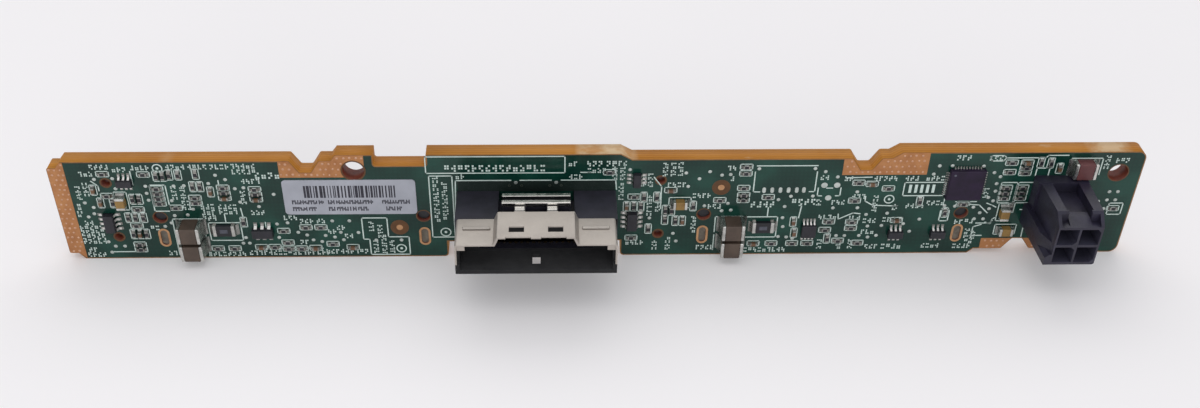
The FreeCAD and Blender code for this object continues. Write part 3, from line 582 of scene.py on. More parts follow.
left_low, left_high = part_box("left_receptacle_housing")
right_low, right_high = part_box("right_receptacle_housing")
LEFT_BAY = middle_of(left_low, left_high)[0]
RIGHT_BAY = middle_of(right_low, right_high)[0]
BAYS = (LEFT_BAY, RIGHT_BAY)
END = along(board_high.x)
SCREW = (along(0.0), up(0.0), 1.5)
SCREW_RIGHT = (END - 3.3, -2.6, 1.35)
PEGS_OUT = 18.4                   # from the middle of a bay to its pegs and board locks
PEG_HOLES = [(bay + side * PEGS_OUT, -9.5) for bay in BAYS for side in (-1, 1)]
LOCKS = [(bay + side * PEGS_OUT, -13.1) for bay in BAYS for side in (-1, 1)]
GUIDES = [(bay - 24.75, z) for bay in BAYS for z in (-3.5, -12.9)]
PINS = [middle_of(low, high) for low, high in solids("power_header_pins")]

# ---------- bare copper along the edges, with its rows of solder dots ----------
left_notch = LEFT_BAY + 2.65
right_notch = RIGHT_BAY + 3.75
raise_one = LEFT_BAY + 7.0
raise_three = RIGHT_BAY + 8.5
MAIN_COPPER = -0.05               # copper stops just short of the edge
RAISED_COPPER = RAISED + MAIN_COPPER


def round_the_screw():
    a, z, radius = SCREW
    r = radius + 0.08
    return [(a + r * cos(radians(t)), z + r * sin(radians(t))) for t in range(224, 10, -8)]


def round_the_notch(middle):
    """The tapered notch from its right shoulder to its left one."""
    shoulder, foot = 2.1, 0.85
    return [(middle + shoulder, MAIN_COPPER), (middle + foot, -2.02),
            (middle - foot, -2.02), (middle - shoulder, MAIN_COPPER)]


COPPER_AREAS = [
    [(0.06, -1.06), (0.06, -15.74), (1.3, -15.74), (2.3, -16.7), (2.35, -0.08), (2.0, -0.08), (1.25, -1.06)],
    [(left_notch - 3.55, -2.75), *round_the_screw(), (43.12, RAISED_COPPER),
     (raise_one + 0.05, RAISED_COPPER), (raise_one - 0.65, MAIN_COPPER), *round_the_notch(left_notch),
     (left_notch - 3.55, MAIN_COPPER)],
    [(right_notch - 3.3, -2.75), (right_notch + 8.55, -2.75), (right_notch + 8.55, RAISED_COPPER),
     (raise_three + 0.05, RAISED_COPPER), (raise_three - 1.3, MAIN_COPPER), *round_the_notch(right_notch),
     (right_notch - 3.3, MAIN_COPPER)],
    [(130.9, -15.95), (134.05, -15.95), (135.32, -14.1), (130.9, -14.1)],
    [(136.98, -14.1), (138.25, -15.95), (139.2, -15.95), (139.2, -14.1)]]
DOT_PITCH = 0.84
DOT_STRAY = 0.07
DOT_RADIUS = (0.14, 0.2)
scatter = random.Random(3)


def dots_over(area):
    """Staggered dots that stray a little from their rows and keep clear of the area's outline."""
    a_low, a_high = min(a for a, z in area), max(a for a, z in area)
    z_low, z_high = min(z for a, z in area), max(z for a, z in area)
    columns = round((a_high - a_low) / DOT_PITCH)
    rows = round((z_high - z_low) / DOT_PITCH)
    for i in range(columns):
        for j in range(rows):
            a = a_low + (i + (0.75 if j % 2 else 0.25)) * (a_high - a_low) / columns
            z = z_low + (j + 0.5) * (z_high - z_low) / rows
            a += scatter.uniform(-DOT_STRAY, DOT_STRAY)
            z += scatter.uniform(-DOT_STRAY, DOT_STRAY)
            if all(inside(a + da, z + dz, area) for da in (-0.2, 0.2) for dz in (-0.2, 0.2)):
                dots.dome(a, z, scatter.uniform(*DOT_RADIUS), 0.05, base=COPPER_FILM, sides=10)


copper = Build()
dots = Build()
for area in COPPER_AREAS:
    copper.film([area], COPPER_FILM)
    dots_over(area)
copper.done("edge_copper", [COPPER])
dots.done("edge_solder_dots", [DOT_SOLDER], smooth=True)

# ---------- round the holes, fiducials and soldered slots ----------
FIDUCIALS = [(47.2, -11.5), (92.45, -4.8)]
FIDUCIAL_RADIUS = 0.46
LOCK_RING = (1.62, 3.2)           # width and length of the plated ring round a board lock
LOCK_SLOT = (1.02, 2.62)
LOCK_FILL = (0.99, 2.59)
rims = Build()
for a, z in PEG_HOLES:
    rims.ring(a, z, 0.92, 1.06, RIM_FILM, sides=32)
for a, z in GUIDES:
    rims.ring(a, z, 0.61, 0.84, RIM_FILM)
for (a, z, radius), width, height in ((SCREW_RIGHT, 0.15, RIM_FILM), (SCREW, 0.22, 0.036)):
    rims.ring(a, z, radius + 0.01, radius + width, height, sides=36)
for a, z in FIDUCIALS:
    rims.ring(a, z, FIDUCIAL_RADIUS, 1.3, RIM_FILM, sides=32)
rims.done("bare_rims", [BARE_RING])

bright = Build()
for a, z in FIDUCIALS:
    bright.disc(a, z, FIDUCIAL_RADIUS, COPPER_FILM, sides=24)
filled = Build()
for a, z in LOCKS:
    bright.film([pill(a, z, *LOCK_RING, 12), pill(a, z, *LOCK_SLOT, 12)], 0.035)
    filled.film([pill(a, z, *LOCK_FILL, 12)], 0.12, face=FRONT + 0.24 * MM)
bright.done("plated_copper", [COPPER_BRIGHT])
filled.done("slot_solder", [GREY_SOLDER])

# ---------- vias and test points ----------
VIAS = [
    (22.65, -2.3), (23.9, -3.05), (21.5, -3.7), (25, -4.6), (12.85, -4.1), (12.8, -5.3), (12.85, -6.5),
    (16, -6.6), (15.96, -9.2), (17.8, -9.1), (18.7, -8.1), (15.3, -10.5), (4, -6.9), (5.05, -7.7),
    (4, -9.35), (4.9, -8.8), (6.1, -2.9), (8.6, -2.8), (8.7, -4.5), (5.85, -13.8), (6.7, -14.6), (8, -14.6),
    (5.96, -15.7), (25.4, -6.9), (25.3, -13.2), (24.8, -14.2), (25.7, -14.2), (14.3, -11.1), (16.7, -4.1),
    (18.1, -4.05), (26.2, -4.45), (30.2, -5.6), (31.5, -10.6), (30, -10.8), (30, -13.2), (37.8, -10.3),
    (40.2, -10.3), (32.8, -12.3), (34, -12.8), (36.6, -12.9), (38.8, -12.35), (37.9, -13.2), (39.1, -13.7),
    (41.3, -12.4), (43.7, -13.8), (47.3, -13.8), (34.8, -13.7), (36, -14), (27.9, -7.7), (63.8, -3.8),
    (69.4, -3.8), (79.6, -1.7), (87.4, -2.3), (89.3, -3.3), (90.7, -2.1), (87.8, -4.6), (92.4, -2.7),
    (93.6, -2.6), (97.5, -1.65), (102.4, -6.4), (100.7, -7), (101.7, -8.2), (101.6, -10.2), (101.8, -11.8),
    (101.3, -13.6), (102.5, -13.7), (103.4, -14), (86.1, -12.9), (86.6, -14.3), (82.6, -10.1), (90.3, -8),
    (92.8, -8.9), (94.1, -8.8), (93.6, -7.6), (105.3, -1.65), (106.8, -2.2), (108.6, -3.1), (111.7, -5.7),
    (105.5, -6.4), (108.6, -8.5), (112.1, -8.5), (113.5, -9.7), (116.5, -9.5), (118.6, -10.5),
    (119.1, -11.4), (116, -11.7), (114, -11.8), (121.3, -10.6), (120.2, -12.8), (114.3, -13.8),
    (115.5, -13.5), (113, -13.5), (110.9, -13.5), (109.7, -13.5), (122.6, -1.3), (124.4, -1.3),
    (128.8, -1.4), (122, -2.7), (129.2, -10.6), (126, -8.3), (128.7, -8.5), (124.5, -8.2), (130.5, -2.5),
    (131.2, -4.4), (131.3, -5.7), (131.3, -7.4), (130.5, -6.8), (131, -8.8), (129.8, -9.5), (130.5, -10.6),
    (131.5, -3.2), (134.1, -8.7), (147.6, -5.9), (148.8, -5.9), (147.6, -7.35), (148.8, -7.35),
    (146.4, -7.6), (147.5, -8.9)]
FAINT_VIAS = [(a, -4.3) for a in (62.9, 64.6, 68.5, 70.1)]
PAD_ROW = [(a, -5.3) for a in (98.5, 99.65, 100.8, 101.95, 103.1, 104.1)]
THREE_PADS = [(106.9, -4.5), (108.7, -4.5), (107.7, -6.7)]
data_low, data_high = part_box("data_connector_housing")
VIA_RADIUS = 0.27
PAD_FILM = 0.04
# a film of painted shade on the mask between the outline box and the data connector's housing
clear = Build()
clear.rect(along(data_low.x) + 0.1, along(data_high.x) - 0.1, up(data_high.z) - 1.2, -3.5, 0.006)
clear.done("painted_shade_over_connector", [PAINTED_SHADE_MASK])
vias = Build()
for a, z in VIAS:
    vias.dome(a, z, VIA_RADIUS, 0.05)
    vias.dome(a, z, VIA_RADIUS - 0.03, 0.04, rear=True)
for a, z in PAD_ROW:
    vias.film([pill(a, z, 0.5, 0.95, 8)], PAD_FILM)
for a, z in THREE_PADS:
    vias.disc(a, z, 0.45, PAD_FILM, sides=20)
for a, z in FAINT_VIAS:
    vias.ring(a, z, 0.1, 0.2, kind=1, sides=12)
vias.done("vias_and_pads", [TINNED, TENTED])

# ---------- silkscreen ----------
ink = Build()
marks = Build()
rng = random.Random(7)


def words(a, z, count, height=0.84, turned=False, rear=False):
    """A run of scattered dabs where such a board has its reference marks; they spell nothing."""
    step = height * 0.82
    cells = [(x * height, y * height) for x in (-0.15, 0.15) for y in (-0.34, 0.0, 0.34)]
    for i in range(count):
        shift = (i - (count - 1) / 2) * step
        for x, y in rng.sample(cells, 4):
            x, w, h = x + shift, height * 0.22, height * 0.25
            if turned:
                x, y, w, h = -y, x, h, w
            marks.rect(a + x - w / 2, a + x + w / 2, z + y - h / 2, z + y + h / 2, rear=rear)


# place and number of clusters of each run, and its height where it is a tall one
WORDS = [
    (7.1, -0.85, 4), (9.75, -1.3, 3), (12.6, -1, 4), (17.4, -0.9, 4), (20.4, -0.9, 4), (23.4, -0.9, 4),
    (5.1, -2, 3), (17.9, -7, 2), (17.9, -7.8, 2), *[(20.75, -7.6 - 0.7 * i, 3) for i in range(4)],
    (23.5, -7.7, 4), (23.5, -8.6, 4), (3.85, -10.4, 2), *[(4, -11.3 - 0.8 * i, 5) for i in range(4)],
    (3.4, -15.2, 2), (3.8, -16.1, 4), (12.85, -11.35, 2), (14.6, -15.9, 2), (21.9, -16.15, 9),
    (26.6, -0.8, 5), (26.6, -1.75, 5), (27.3, -3.35, 4), (27.6, -8.75, 3), (32, -9.7, 3), (34.2, -10.3, 3),
    (36.2, -10.3, 2), (37.6, -12.2, 2), (38.9, -11.5, 2), (39.9, -13, 2), (33.5, -14.05, 2),
    (31.2, -15.95, 17), (39.4, -15.8, 9), (71.7, -0.65, 2), (75, -1.8, 4), (56.1, -2.75, 2),
    (72.1, -2.85, 3), (78.2, -0.6, 3), (86.2, -4.3, 4), (89.8, -6.2, 4), (91.7, -8.1, 3), (80.6, -14.5, 4),
    (90.8, -15.45, 4), (99.5, -15.95, 9), (93.7, -1.5, 2), (93.9, -3.3, 1), (106.8, -3.2, 2),
    (110.2, -3.4, 2), (109.2, -7.5, 3), (115.4, -3.4, 5), (119.1, -3.4, 3), (122.4, -3.4, 4),
    (112, -6.5, 3), (120.2, -8.2, 4), (123.1, -7.7, 4), (108, -10.1, 4), (111.8, -10.3, 3),
    (114.1, -10.8, 3), (114.1, -12.8, 3), (116.9, -10.6, 3), (115, -15.5, 3), (123.6, -15.4, 4),
    (128.2, -15.5, 4), (127, -11.1, 2), (128.5, -11, 2), (130.3, -0.05, 3), (148.1, -0.5, 3),
    (29.7, -2.4, 4, 1.1), (98.5, -7.8, 4, 1.1), (104.3, -7.4, 4, 1.1), (117.9, -15.5, 4, 0.95),
    (125.8, 0.05, 3, 0.9), (74.7, -0.65, 3, 0.95), (77, -0.65, 2, 0.95)]
TURNED_WORDS = [
    (3.5, -5.2, 4), (4.6, -4.6, 4), (2.95, -8.2, 4), (16.55, -5.25, 4), (17.75, -5.25, 4), (25.95, -6.1, 4),
    (43.2, -11.3, 3), (44.4, -12.2, 4), (43.6, -15, 4), (44.8, -14.6, 6), (45.9, -15, 4), (77.5, -2.3, 4),
    (78.6, -2.3, 4), (84.5, -1.7, 4), (85.6, -1.7, 4), (86.6, -1.6, 4), (81.55, -3.7, 3), (82.5, -3.5, 4),
    (88.9, -11.3, 5), (85.4, -14.7, 4), (83.5, -15, 3), (82.5, -7.9, 6), (83.7, -7.8, 4), (78.45, -5.4, 5),
    (106.45, -7.5, 2), (114.5, -7.8, 5), (117.4, -8.4, 2), (107.4, -15, 3), (110.2, -15.4, 2),
    (111.9, -15, 3), (128.6, -13.5, 4), (146, -0.8, 4), (129.5, -13.9, 4), (130, -6, 3)]
for place in WORDS:
    words(*place)
for a, z, count in TURNED_WORDS:
    words(a, z, count, 0.76, True)
# the long run in the box over the data connector, and the column beside it
words(60.95, -1.35, 15, 1.15)
words(52.65, -6.6, 12, 0.82, True)
words(53.85, -6.9, 10, 0.82, True)

BOXES = [(13.4, 15.55, -8.4, -3.9), (20.4, 24.9, -13.65, -10.5), (96.35, 100.9, -13.65, -10),
         (51.8, 55, -13.3, -2.6), (51.45, 70.6, -2.15, 0.6), (118.2, 124, -6.4, -4.1),
         (131.9, 134.2, -7.75, -4.2), (134.3, 136.5, -7.75, -4.2), (148.1, 150.1, -9.9, -7.9),
         (124.1, 125.35, -10.9, -8.9), (136.35, 138.15, -3.1, -1.75)]
for a0, a1, z0, z1 in BOXES:
    ink.box_line(a0, a1, z0, z1)
ink.line([(41.95, -9.8), (45.5, -9.8), (45.5, -13.2), (48.4, -13.2), (48.4, -16.4), (42.8, -16.4),
          (42.8, -13.6), (41.95, -13.6)], closed=True)
LINES = [
    [(15.5, -16.2), (15.5, -9.8), (19.75, -9.8)], [(19.75, -10.6), (19.75, -16.2)],
    [(92, -15.9), (92, -13.2)], [(92, -12.6), (92, -9.9), (95.9, -9.9)], [(96.1, -10.4), (96.1, -16.2)],
    [(97.2, -1.15), (105.6, -1.15)], [(97, -2.2), (97, -5.6), (97.9, -5.6)],
    [(105.65, -2.2), (105.65, -5.6), (104.9, -5.6)], [(55.2, -9.4), (55.45, -3.4), (63.1, -3.4)],
    [(64.4, -3.4), (68.7, -3.4)], [(70.1, -3.4), (77.65, -3.4), (77.8, -5)],
    [(106.1, -5), (106.1, -6.35), (106.7, -6.35)], [(109.3, -5), (109.3, -6.35), (108.7, -6.35)],
    [(107.3, -5), (108.1, -5)], [(140.8, -2.9), (140.8, -0.12), (145.3, -0.12), (145.3, -2.9)],
    [(103.75, -8), (104.1, -8), (103.9, -10.2)], [(25.3, -8), (25.5, -10.3)], [(99.4, -8.4), (99.4, -9.8)],
    [(22.9, -3.2), (22.9, -4.2)], [(22.9, -9), (22.9, -10.3)], [(6.3, -15.6), (9.2, -15.6)],
    [(5.6, -3.2), (6.4, -4), (6.4, -4.8)], [(124.3, -2.2), (124.3, -7.4)], [(128.9, -7.5), (126, -7.5)],
    [(83, -3), (84.1, -4.6), (84.1, -8.4)], [(28.4, -10.5), (28.4, -13.2)], [(27, -15.2), (36, -15.2)],
    [(10.1, -4), (11.2, -4), (11.2, -1.6)], [(129.2, -13.6), (130.8, -13.6)], [(72.8, -2.1), (74.4, -2.1)],
    [(129.3, -14), (129.3, -12), (130.4, -11.6)], [(110.9, -4.1), (114, -4.1)],
    [(131.8, 0), (137.2, 0), (137.5, 0.4), (140.3, 0.4)],
    [(129.6, 0.4), (131.4, 0.4), (131.7, 0), (131.4, -0.5), (129.8, -0.5), (129.5, 0), (129.6, 0.4)],
    [(130.5, -7.8), (131.3, -8.15), (131.9, -8.5)],
    [(130.9, -11.2), (131.7, -11.5), (131.8, -10.6), (132.3, -10.3)],
    [(135.5, -8.95), (136.5, -9.05), (136.65, -13.8)], [(128.2, -8), (129.45, -8.1), (130.85, -9.5)],
    [(129.6, -11.35), (131.6, -11.35), (131.85, -10.9)], [(109.8, -3.25), (113.4, -3.15)],
    [(113, -6.5), (113, -7.3), (114.2, -8.05), (117.65, -8.2)],
    [(109.5, -9.6), (109.6, -10.5), (111.6, -9.4), (112.6, -9.55)]]
for run in LINES:
    ink.line(run)
RING_MARKS = [(47.2, -15.3, 0.75), (53.7, -12.4, 0.78), (15.0, -1.1, 0.72), (116.4, -7.0, 0.75),
              (124.9, -9.6, 0.45)]
for a, z, r in RING_MARKS:
    ink.ring(a, z, r - 0.16, r)
    ink.disc(a, z, 0.2)
for i in range(5):
    ink.rect(118.9 + i * 0.82, 119.3 + i * 0.82, -5.9, -4.5)
ink.film([pill(127.1, -8.0, 0.75, 2.1, 8, True), pill(127.1, -8.0, 0.42, 1.75, 8, True)])

for node in ("chip_resistors", "chip_capacitors"):
    for low, high in solids(node):
        a, z = middle_of(low, high)
        half_a, half_z = (high.x - low.x) / 2 / MM, (high.z - low.z) / 2 / MM
        lying = half_a > half_z
        half_a += 0.36 if lying else 0.2
        half_z += 0.2 if lying else 0.36
        ink.box_line(a - half_a, a + half_a, z - half_z, z + half_z, 0.13)
for low, high in solids("medium_capacitor_bodies"):
    a, z = middle_of(low, high)
    wide = (high.x - low.x) < (high.z - low.z)
    half_a, half_z = (1.55, 0.9) if wide else (0.9, 1.55)
    ink.box_line(a - half_a, a + half_a, z - half_z, z + half_z, 0.14)
OUTLINE_HALF = 22.2               # the outline round each receptacle, on the rear
OUTLINE_TOP, OUTLINE_FOOT = -4.9, -15.7
for bay in BAYS:
    for z in (OUTLINE_TOP, OUTLINE_FOOT):
        ink.line([(bay - OUTLINE_HALF, z), (bay + OUTLINE_HALF, z)], rear=True)
    for a in (bay - OUTLINE_HALF, bay + OUTLINE_HALF):
        ink.line([(a, OUTLINE_TOP), (a, OUTLINE_FOOT)], rear=True)
    words(bay - 16, -3.6, 5, 0.9, rear=True)
    words(bay + 14, -3.6, 4, 0.9, rear=True)
ink.done("silkscreen_lines", [INK])
marks.done("silkscreen_marks", [INK])

# ---------- label ----------
label_low, label_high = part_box("label")
la0, la1, lz0, lz1 = along(label_low.x), along(label_high.x), up(label_low.z), up(label_high.z)
CORNER = 0.55
loop = []
for a, z, start in ((la1 - CORNER, lz1 - CORNER, 0), (la0 + CORNER, lz1 - CORNER, 90),
                    (la0 + CORNER, lz0 + CORNER, 180), (la1 - CORNER, lz0 + CORNER, 270)):
    turns = [radians(start + step) for step in range(0, 91, 15)]
    loop += [(a + CORNER * cos(turn), z + CORNER * sin(turn)) for turn in turns]
paper = Build()
paper.film([loop], (FRONT - label_low.y) / MM)
rounded(paper.done("label_paper_dressed", [PAPER], ["label"]), 0.04, 1, 60)

print_ink = Build()


def printed(a0, a1, z0, z1):
    """A printed bar, placed from the label's lower left corner."""
    print_ink.rect(la0 + a0, la0 + a1, lz0 + z0, lz0 + z1, PRINT_FILM, face=label_low.y)


a = 2.9
while a < 15.4:
    width = rng.choice((0.12, 0.14, 0.2, 0.3, 0.4))
    printed(a, a + width, 2.9, 4.95)
    a += width + rng.choice((0.1, 0.14, 0.2, 0.26))
# two rows of short strokes, some with a dab beside them; they spell nothing
for level, groups in ((2.15, ((1.1, 12), (6.1, 17), (13.6, 11))), (0.98, ((1.1, 9), (6.1, 15), (14.1, 6)))):
    for start, count in groups:
        for i in range(count):
            tall = rng.choice((0.56, 0.72, 0.72))
            left = start + i * 0.37
            printed(left, left + 0.15, level - tall / 2, level + tall / 2)
            if rng.random() < 0.8:
                middle = level + rng.choice((-0.18, 0.18, 0.0))
                printed(left + 0.2, left + 0.33, middle - 0.17, middle + 0.17)
print_ink.done("label_print", [LABEL_INK])


# ---------- soldered chips ----------
def chips(node, materials):
    """Bodies with wrapped metal ends and a solder fillet at each end.

    The materials are the body's, the ends' and, for a body in two layers, the lower layer's.
    """
    shapes = Build()
    joints = Build()
    for low, high in solids(node):
        axis = 0 if (high.x - low.x) > (high.z - low.z) else 2
        run = high[axis] - low[axis]
        end = run * 0.23
        thin = 0.012 * MM         # the core stays this far inside the faces of its ends
        core_low, core_high = low.copy(), high.copy()
        core_low[axis] += end * 0.5
        core_high[axis] -= end * 0.5
        core_low[2 - axis] += thin
        core_high[2 - axis] -= thin
        split = FRONT
        if len(materials) == 3:
            split = FRONT - (FRONT - low.y) * 0.62
            shapes.block((core_low.x, split, core_low.z), (core_high.x, FRONT, core_high.z), 2)
        shapes.block((core_low.x, low.y + thin, core_low.z), (core_high.x, split, core_high.z))
        for side in (-1, 1):
            cap_low, cap_high = low.copy(), high.copy()
            if side < 0:
                cap_high[axis] = low[axis] + end
            else:
                cap_low[axis] = high[axis] - end
            shapes.block(cap_low, cap_high, 1)
            joints.wedge(low, high, axis, side, (FRONT - low.y) / MM * 0.7, 0.24)
    name = node + "_dressed"
    rounded(shapes.done(name, materials, [node]), 0.035, 1)
    joints.done(name + "_solder", [SOLDER])


chips("chip_resistors", [RESISTOR, SMALL_TERMINAL, ALUMINA])
chips("chip_capacitors", [CHIP_TAN, SMALL_TERMINAL])

joints = Build()
marked = Build()


def is_past(centre, body, axis):
    """1 where a piece lies past its body's centre on this axis, or -1 before it."""
    return 1 if centre[axis] > body[axis] else -1


def nearest(centre, bodies):
    return min(bodies, key=lambda body: (body - centre).length)


def centres(node):
    return [(low + high) / 2 for low, high in solids(node)]


def large_chip(name, slot, material, rise, body_edges=(0.1, 2), end_edges=(0.14, 3)):
    """A ceramic or film body with metal ends and its solder; edges are a width and a count of steps."""
    dress(name + "_body", slot, material, *body_edges)
    dress(name + "_ends", "end_terminal", TERMINAL, *end_edges)
    body_low, body_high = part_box(name + "_body")
    for low, high in solids(name + "_ends"):
        side = is_past((low + high) / 2, (body_low + body_high) / 2, 0)
        joints.wedge(low, high, 0, side, rise, 0.55)


for side in ("left", "right"):
    for level in ("upper", "lower"):
        large_chip(side + "_" + level + "_bulk_capacitor", "brown_ceramic", BROWN, 1.1)
large_chip("filter_capacitor", "red_ceramic", RED, 0.8)
for name in ("left", "right"):
    large_chip(name + "_shunt_resistor", "resistor_film", RESISTOR, 0.45, (0.05, 1), (0.06, 2))
    low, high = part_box(name + "_shunt_resistor_body")
    a, z = middle_of(low, high)
    marked.rect(a - 0.55, a + 0.55, z - 0.32, z + 0.32, MARK_FILM, face=low.y)
    for low, high in solids(name + "_shunt_resistor_ends"):
        joints.block((low.x, FRONT - 0.05 * MM, low.z - 0.25 * MM), (high.x, FRONT, high.z + 0.25 * MM))
dress("medium_capacitor_bodies", "tan_ceramic", TAN, 0.07)
dress("medium_capacitor_ends", "end_terminal", TERMINAL, 0.08)
bodies = centres("medium_capacitor_bodies")
for low, high in solids("medium_capacitor_ends"):
    centre = (low + high) / 2
    body = nearest(centre, bodies)
    axis = 0 if abs(body.x - centre.x) > abs(body.z - centre.z) else 2
    joints.wedge(low, high, axis, is_past(centre, body, axis), 0.6, 0.35)

for node in ("six_lead_chips", "small_six_lead_chips", "eight_lead_chips", "narrow_chip"):
    dress(node + "_bodies", "chip_plastic", PACKAGE, 0.05)
    bodies = centres(node + "_bodies")
    for low, high in solids(node + "_leads"):
        centre = (low + high) / 2
        axis = 2 if (high.z - low.z) > (high.x - low.x) else 0
        side = is_past(centre, nearest(centre, bodies), axis)
        toe = high[axis] if side > 0 else low[axis]
        low[axis], high[axis] = sorted((toe + side * 0.22 * MM, toe - side * 0.35 * MM))
        low[2 - axis] -= 0.05 * MM
        high[2 - axis] += 0.05 * MM
        joints.block((low.x, FRONT - 0.03 * MM, low.z), (high.x, FRONT, high.z))
dress("controller_chip_body", "chip_plastic", CONTROLLER, 0.05)
body_low, body_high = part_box("controller_chip_body")
for low, high in solids("controller_chip_pads"):
    centre = (low + high) / 2
    axis = 2 if body_low.x <= centre.x <= body_high.x else 0
    side = is_past(centre, (body_low + body_high) / 2, axis)
    edge = high[axis] if side > 0 else low[axis]
    low[axis], high[axis] = sorted((edge, edge + side * 0.3 * MM))
    joints.block((low.x, FRONT - 0.06 * MM, low.z), (high.x, FRONT, high.z))
marked.disc(along(body_low.x) + 0.65, up(body_high.z) - 0.65, 0.18, MARK_FILM + (FRONT - body_low.y) / MM)
joints.done("part_solder", [SOLDER])
marked.done("part_marks", [MARK])

# ---------- connectors ----------
shell_low, shell_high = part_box("data_connector_shell")
strip_low, strip_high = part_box("data_connector_latch_channel")
contacts_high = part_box("data_connector_upper_contacts")[1]
pins_low, pins_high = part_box("power_header_pins")
mouth = shell_low.y               # the front of the data connector
header_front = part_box("power_header_housing")[0].y


def in_mouth(middle, normal):
    return middle.y < mouth + 4.5 * MM


def is_mouth_floor(middle, normal):
    return middle.y < mouth + 3.5 * MM and middle.z < shell_low.z + 1.5 * MM and normal.z > 0.9


def in_card_slot(middle, normal):
    return (mouth + 4.0 * MM < middle.y < -2 * MM and abs(normal.z) > 0.9
            and shell_low.z + 0.8 * MM < middle.z < contacts_high.z + 0.4 * MM)


def in_groove(middle, normal):
    return (strip_low.y + 0.4 * MM < middle.y < strip_high.y - 0.4 * MM and normal.z > -0.5
            and middle.z < strip_high.z - 0.1 * MM)


def in_pocket(middle, normal):
    reach = 1.25 * MM
    return (header_front + 1.0 * MM < middle.y and abs(normal.y) < 0.5
            and pins_low.x - reach < middle.x < pins_high.x + reach
            and pins_low.z - reach < middle.z < pins_high.z + reach)


housing = dress("data_connector_housing", "connector_plastic", DATA_PLASTIC, 0.06)
# painted shade on the mouth's rim and front walls
shade(housing, MOUTH_PLASTIC_PAINTED_SHADE, in_mouth)
# painted light on the mouth's floor and in the card slot, which lie in shade
shade(housing, MOUTH_FLOOR_PAINTED_LIGHT, is_mouth_floor)
shade(housing, MOUTH_FLOOR_PAINTED_LIGHT, in_card_slot)
dress("data_connector_shell", "shell_metal", SHELL, 0.05)
# painted shade in the groove of the latch channel
shade(dress("data_connector_latch_channel", "shell_metal", STRIP, 0.09, 3), GROOVE_PAINTED_SHADE, in_groove)
# painted light inside the header's pin pockets
shade(dress("power_header_housing", "header_plastic", HEADER_PLASTIC, 0.14, 3), HEADER_POCKETS_PAINTED_LIGHT, in_pocket)
for side in ("left", "right"):
    dress(side + "_receptacle_housing", "receptacle_plastic", RECEPTACLE_PLASTIC, 0.09)

shell_middle = middle_of(shell_low, shell_high)[0]
RIDGES_OUT, RIDGE_HALF = 8.0, 1.85
ridges = Build()
for side in (-1, 1):
    a = shell_middle + side * RIDGES_OUT
    y = mouth + 3.55 * MM
    ridges.block(at(a - RIDGE_HALF, -5.05, y - 0.28 * MM), at(a + RIDGE_HALF, -4.8, y + 0.28 * MM))
rounded(ridges.done("shell_ridges", [RIDGE_SHADED_METAL]), 0.14, 3)

# each strap between hood and channel gets a dark film of painted shade with a smaller, brighter metal film of
# painted highlight on it
STRAPS_OUT, STRAP_HALF = 2.2, 0.76
strap_back = strip_low.y
strap_front = strap_back - 1.25 * MM
hood = shell_high.z
strap_shade_and_highlight = Build()
for side in (-1, 1):
    x = (shell_low.x + shell_high.x) / 2 + side * STRAPS_OUT * MM
    half = STRAP_HALF * MM
    strap_shade_and_highlight.block((x - half, strap_front, hood - 0.05 * MM), (x + half, strap_back, hood + 0.01 * MM), 1)
    strap_shade_and_highlight.block((x - half + 0.1 * MM, strap_front + 0.16 * MM, hood),
                 (x + half - 0.16 * MM, strap_back - 0.22 * MM, hood + 0.05 * MM))
rounded(strap_shade_and_highlight.done("strap_painted_shade_and_highlight", [STRIP, GROOVE_PAINTED_SHADE]), 0.03, 1)

# ---------- rear: solder round the header's pins and under the receptacles' tails ----------
rear = Build()
for a, z in PINS:
    rear.ring(a, z, 0.3, 0.95, COPPER_FILM, rear=True)
    rear.dome(a, z, 0.85, 0.75, rear=True, sides=18)
for node in nodes:
    if "receptacle" in node and "contacts" in node:
        for low, high in solids(node):
            outward = -1 if up(low.z) < -14 else 1
            edge = up(low.z) if outward < 0 else up(high.z)
            foot, top = sorted((edge + outward * 0.35, edge - outward * 1.0))
            rear.rect(along(low.x) - 0.08, along(high.x) + 0.08, foot, top, COPPER_FILM, rear=True)
rear.done("rear_solder", [SOLDER], smooth=True)

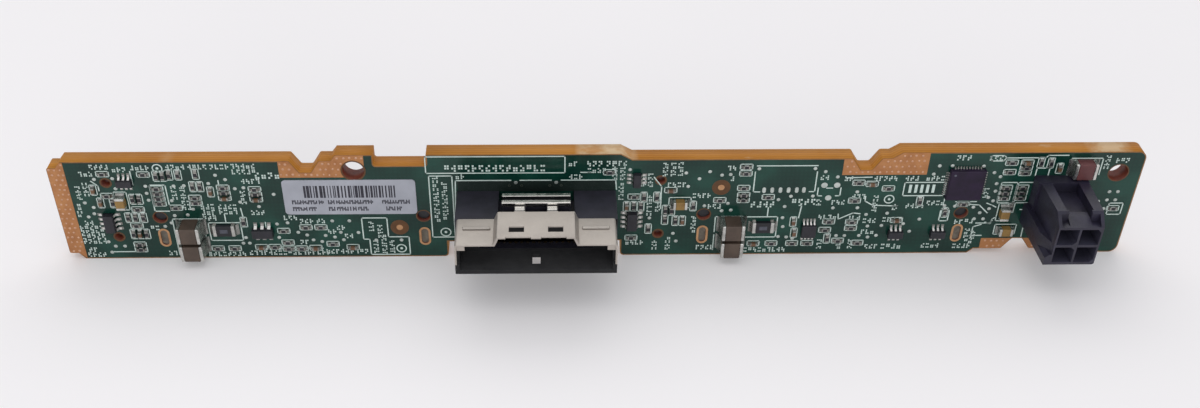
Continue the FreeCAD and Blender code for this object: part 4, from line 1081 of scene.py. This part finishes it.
# ---------- stage, light and camera ----------
floor_mesh = bpy.data.meshes.new("floor")
corners = [(x, y, board_low.z) for x, y in ((-2, -2), (2, -2), (2, 2.5), (-2, 2.5))]
floor_mesh.from_pydata(corners, [], [(0, 1, 2, 3)])
floor = bpy.data.objects.new("floor", floor_mesh)
bpy.context.scene.collection.objects.link(floor)
pale = Surface("floor", 0.8, 0.0, 0.2)
pale.shader.inputs["Emission Color"].default_value = (1.0, 0.985, 0.98, 1)
path = pale.nodes.new("ShaderNodeLightPath").outputs
seen_by = pale.math("MAXIMUM", pale.math("MAXIMUM", path["Is Camera Ray"], path["Is Glossy Ray"]),
                    path["Is Transmission Ray"])
pale.links.new(pale.math("MULTIPLY", seen_by, 0.13), pale.shader.inputs["Emission Strength"])
soft = pale.noise(3.5, 3)
pale.colour(pale.ramp(soft, [(0.3, srgb(226, 223, 223)), (0.7, srgb(233, 230, 230))]))
floor_mesh.materials.append(pale.mat)

bpy.context.scene.view_settings.view_transform = "Standard"
world = bpy.data.worlds.new("studio")
bpy.context.scene.world = world
world.use_nodes = True
sky = world.node_tree.nodes["Background"]
sky.inputs["Color"].default_value = (0.93, 0.95, 1.0, 1)
sky.inputs["Strength"].default_value = 0.68


def lamp(name, place, aim, size, watts, colour=(1, 1, 1)):
    data = bpy.data.lights.new(name, "AREA")
    data.shape = "RECTANGLE"
    data.size, data.size_y = size
    data.energy = watts
    data.color = colour
    thing = bpy.data.objects.new(name, data)
    bpy.context.scene.collection.objects.link(thing)
    thing.location = place
    thing.rotation_mode = "QUATERNION"
    thing.rotation_quaternion = (Vector(aim) - Vector(place)).to_track_quat("-Z", "Y")


lamp("back", (0.03, 0.50, 0.55), (0.03, 0.0, 0.0), (1.0, 0.5), 1.45, (1.0, 0.99, 0.97))
lamp("key", (-0.05, -0.10, 0.62), (0.03, 0.0, 0.0), (0.7, 0.4), 0.6, (1.0, 0.985, 0.96))
lamp("front", (0.08, -0.60, 0.20), (0.03, 0.0, 0.0), (0.8, 0.3), 1.15, (0.97, 0.98, 1.0))

camera_data = bpy.data.cameras.new("camera")
camera_data.sensor_width = 36.0
camera_data.lens = 38.74
camera_data.shift_x = 0.0126
camera_data.clip_start = 0.01
camera_data.clip_end = 20.0
camera = bpy.data.objects.new("camera", camera_data)
bpy.context.scene.collection.objects.link(camera)
pitch, yaw, roll = radians(36.77), radians(1.98), radians(0.87)
forward = Vector((sin(yaw) * cos(pitch), cos(yaw) * cos(pitch), -sin(pitch)))
right = Vector((cos(yaw), -sin(yaw), 0))
upward = right.cross(forward)
right, upward = cos(roll) * right + sin(roll) * upward, cos(roll) * upward - sin(roll) * right
turn = Matrix((right, upward, -forward)).transposed().to_4x4()
camera.matrix_world = Matrix.Translation(Vector((26.85, -145.31, 102.74)) * MM) @ turn
bpy.context.scene.camera = camera
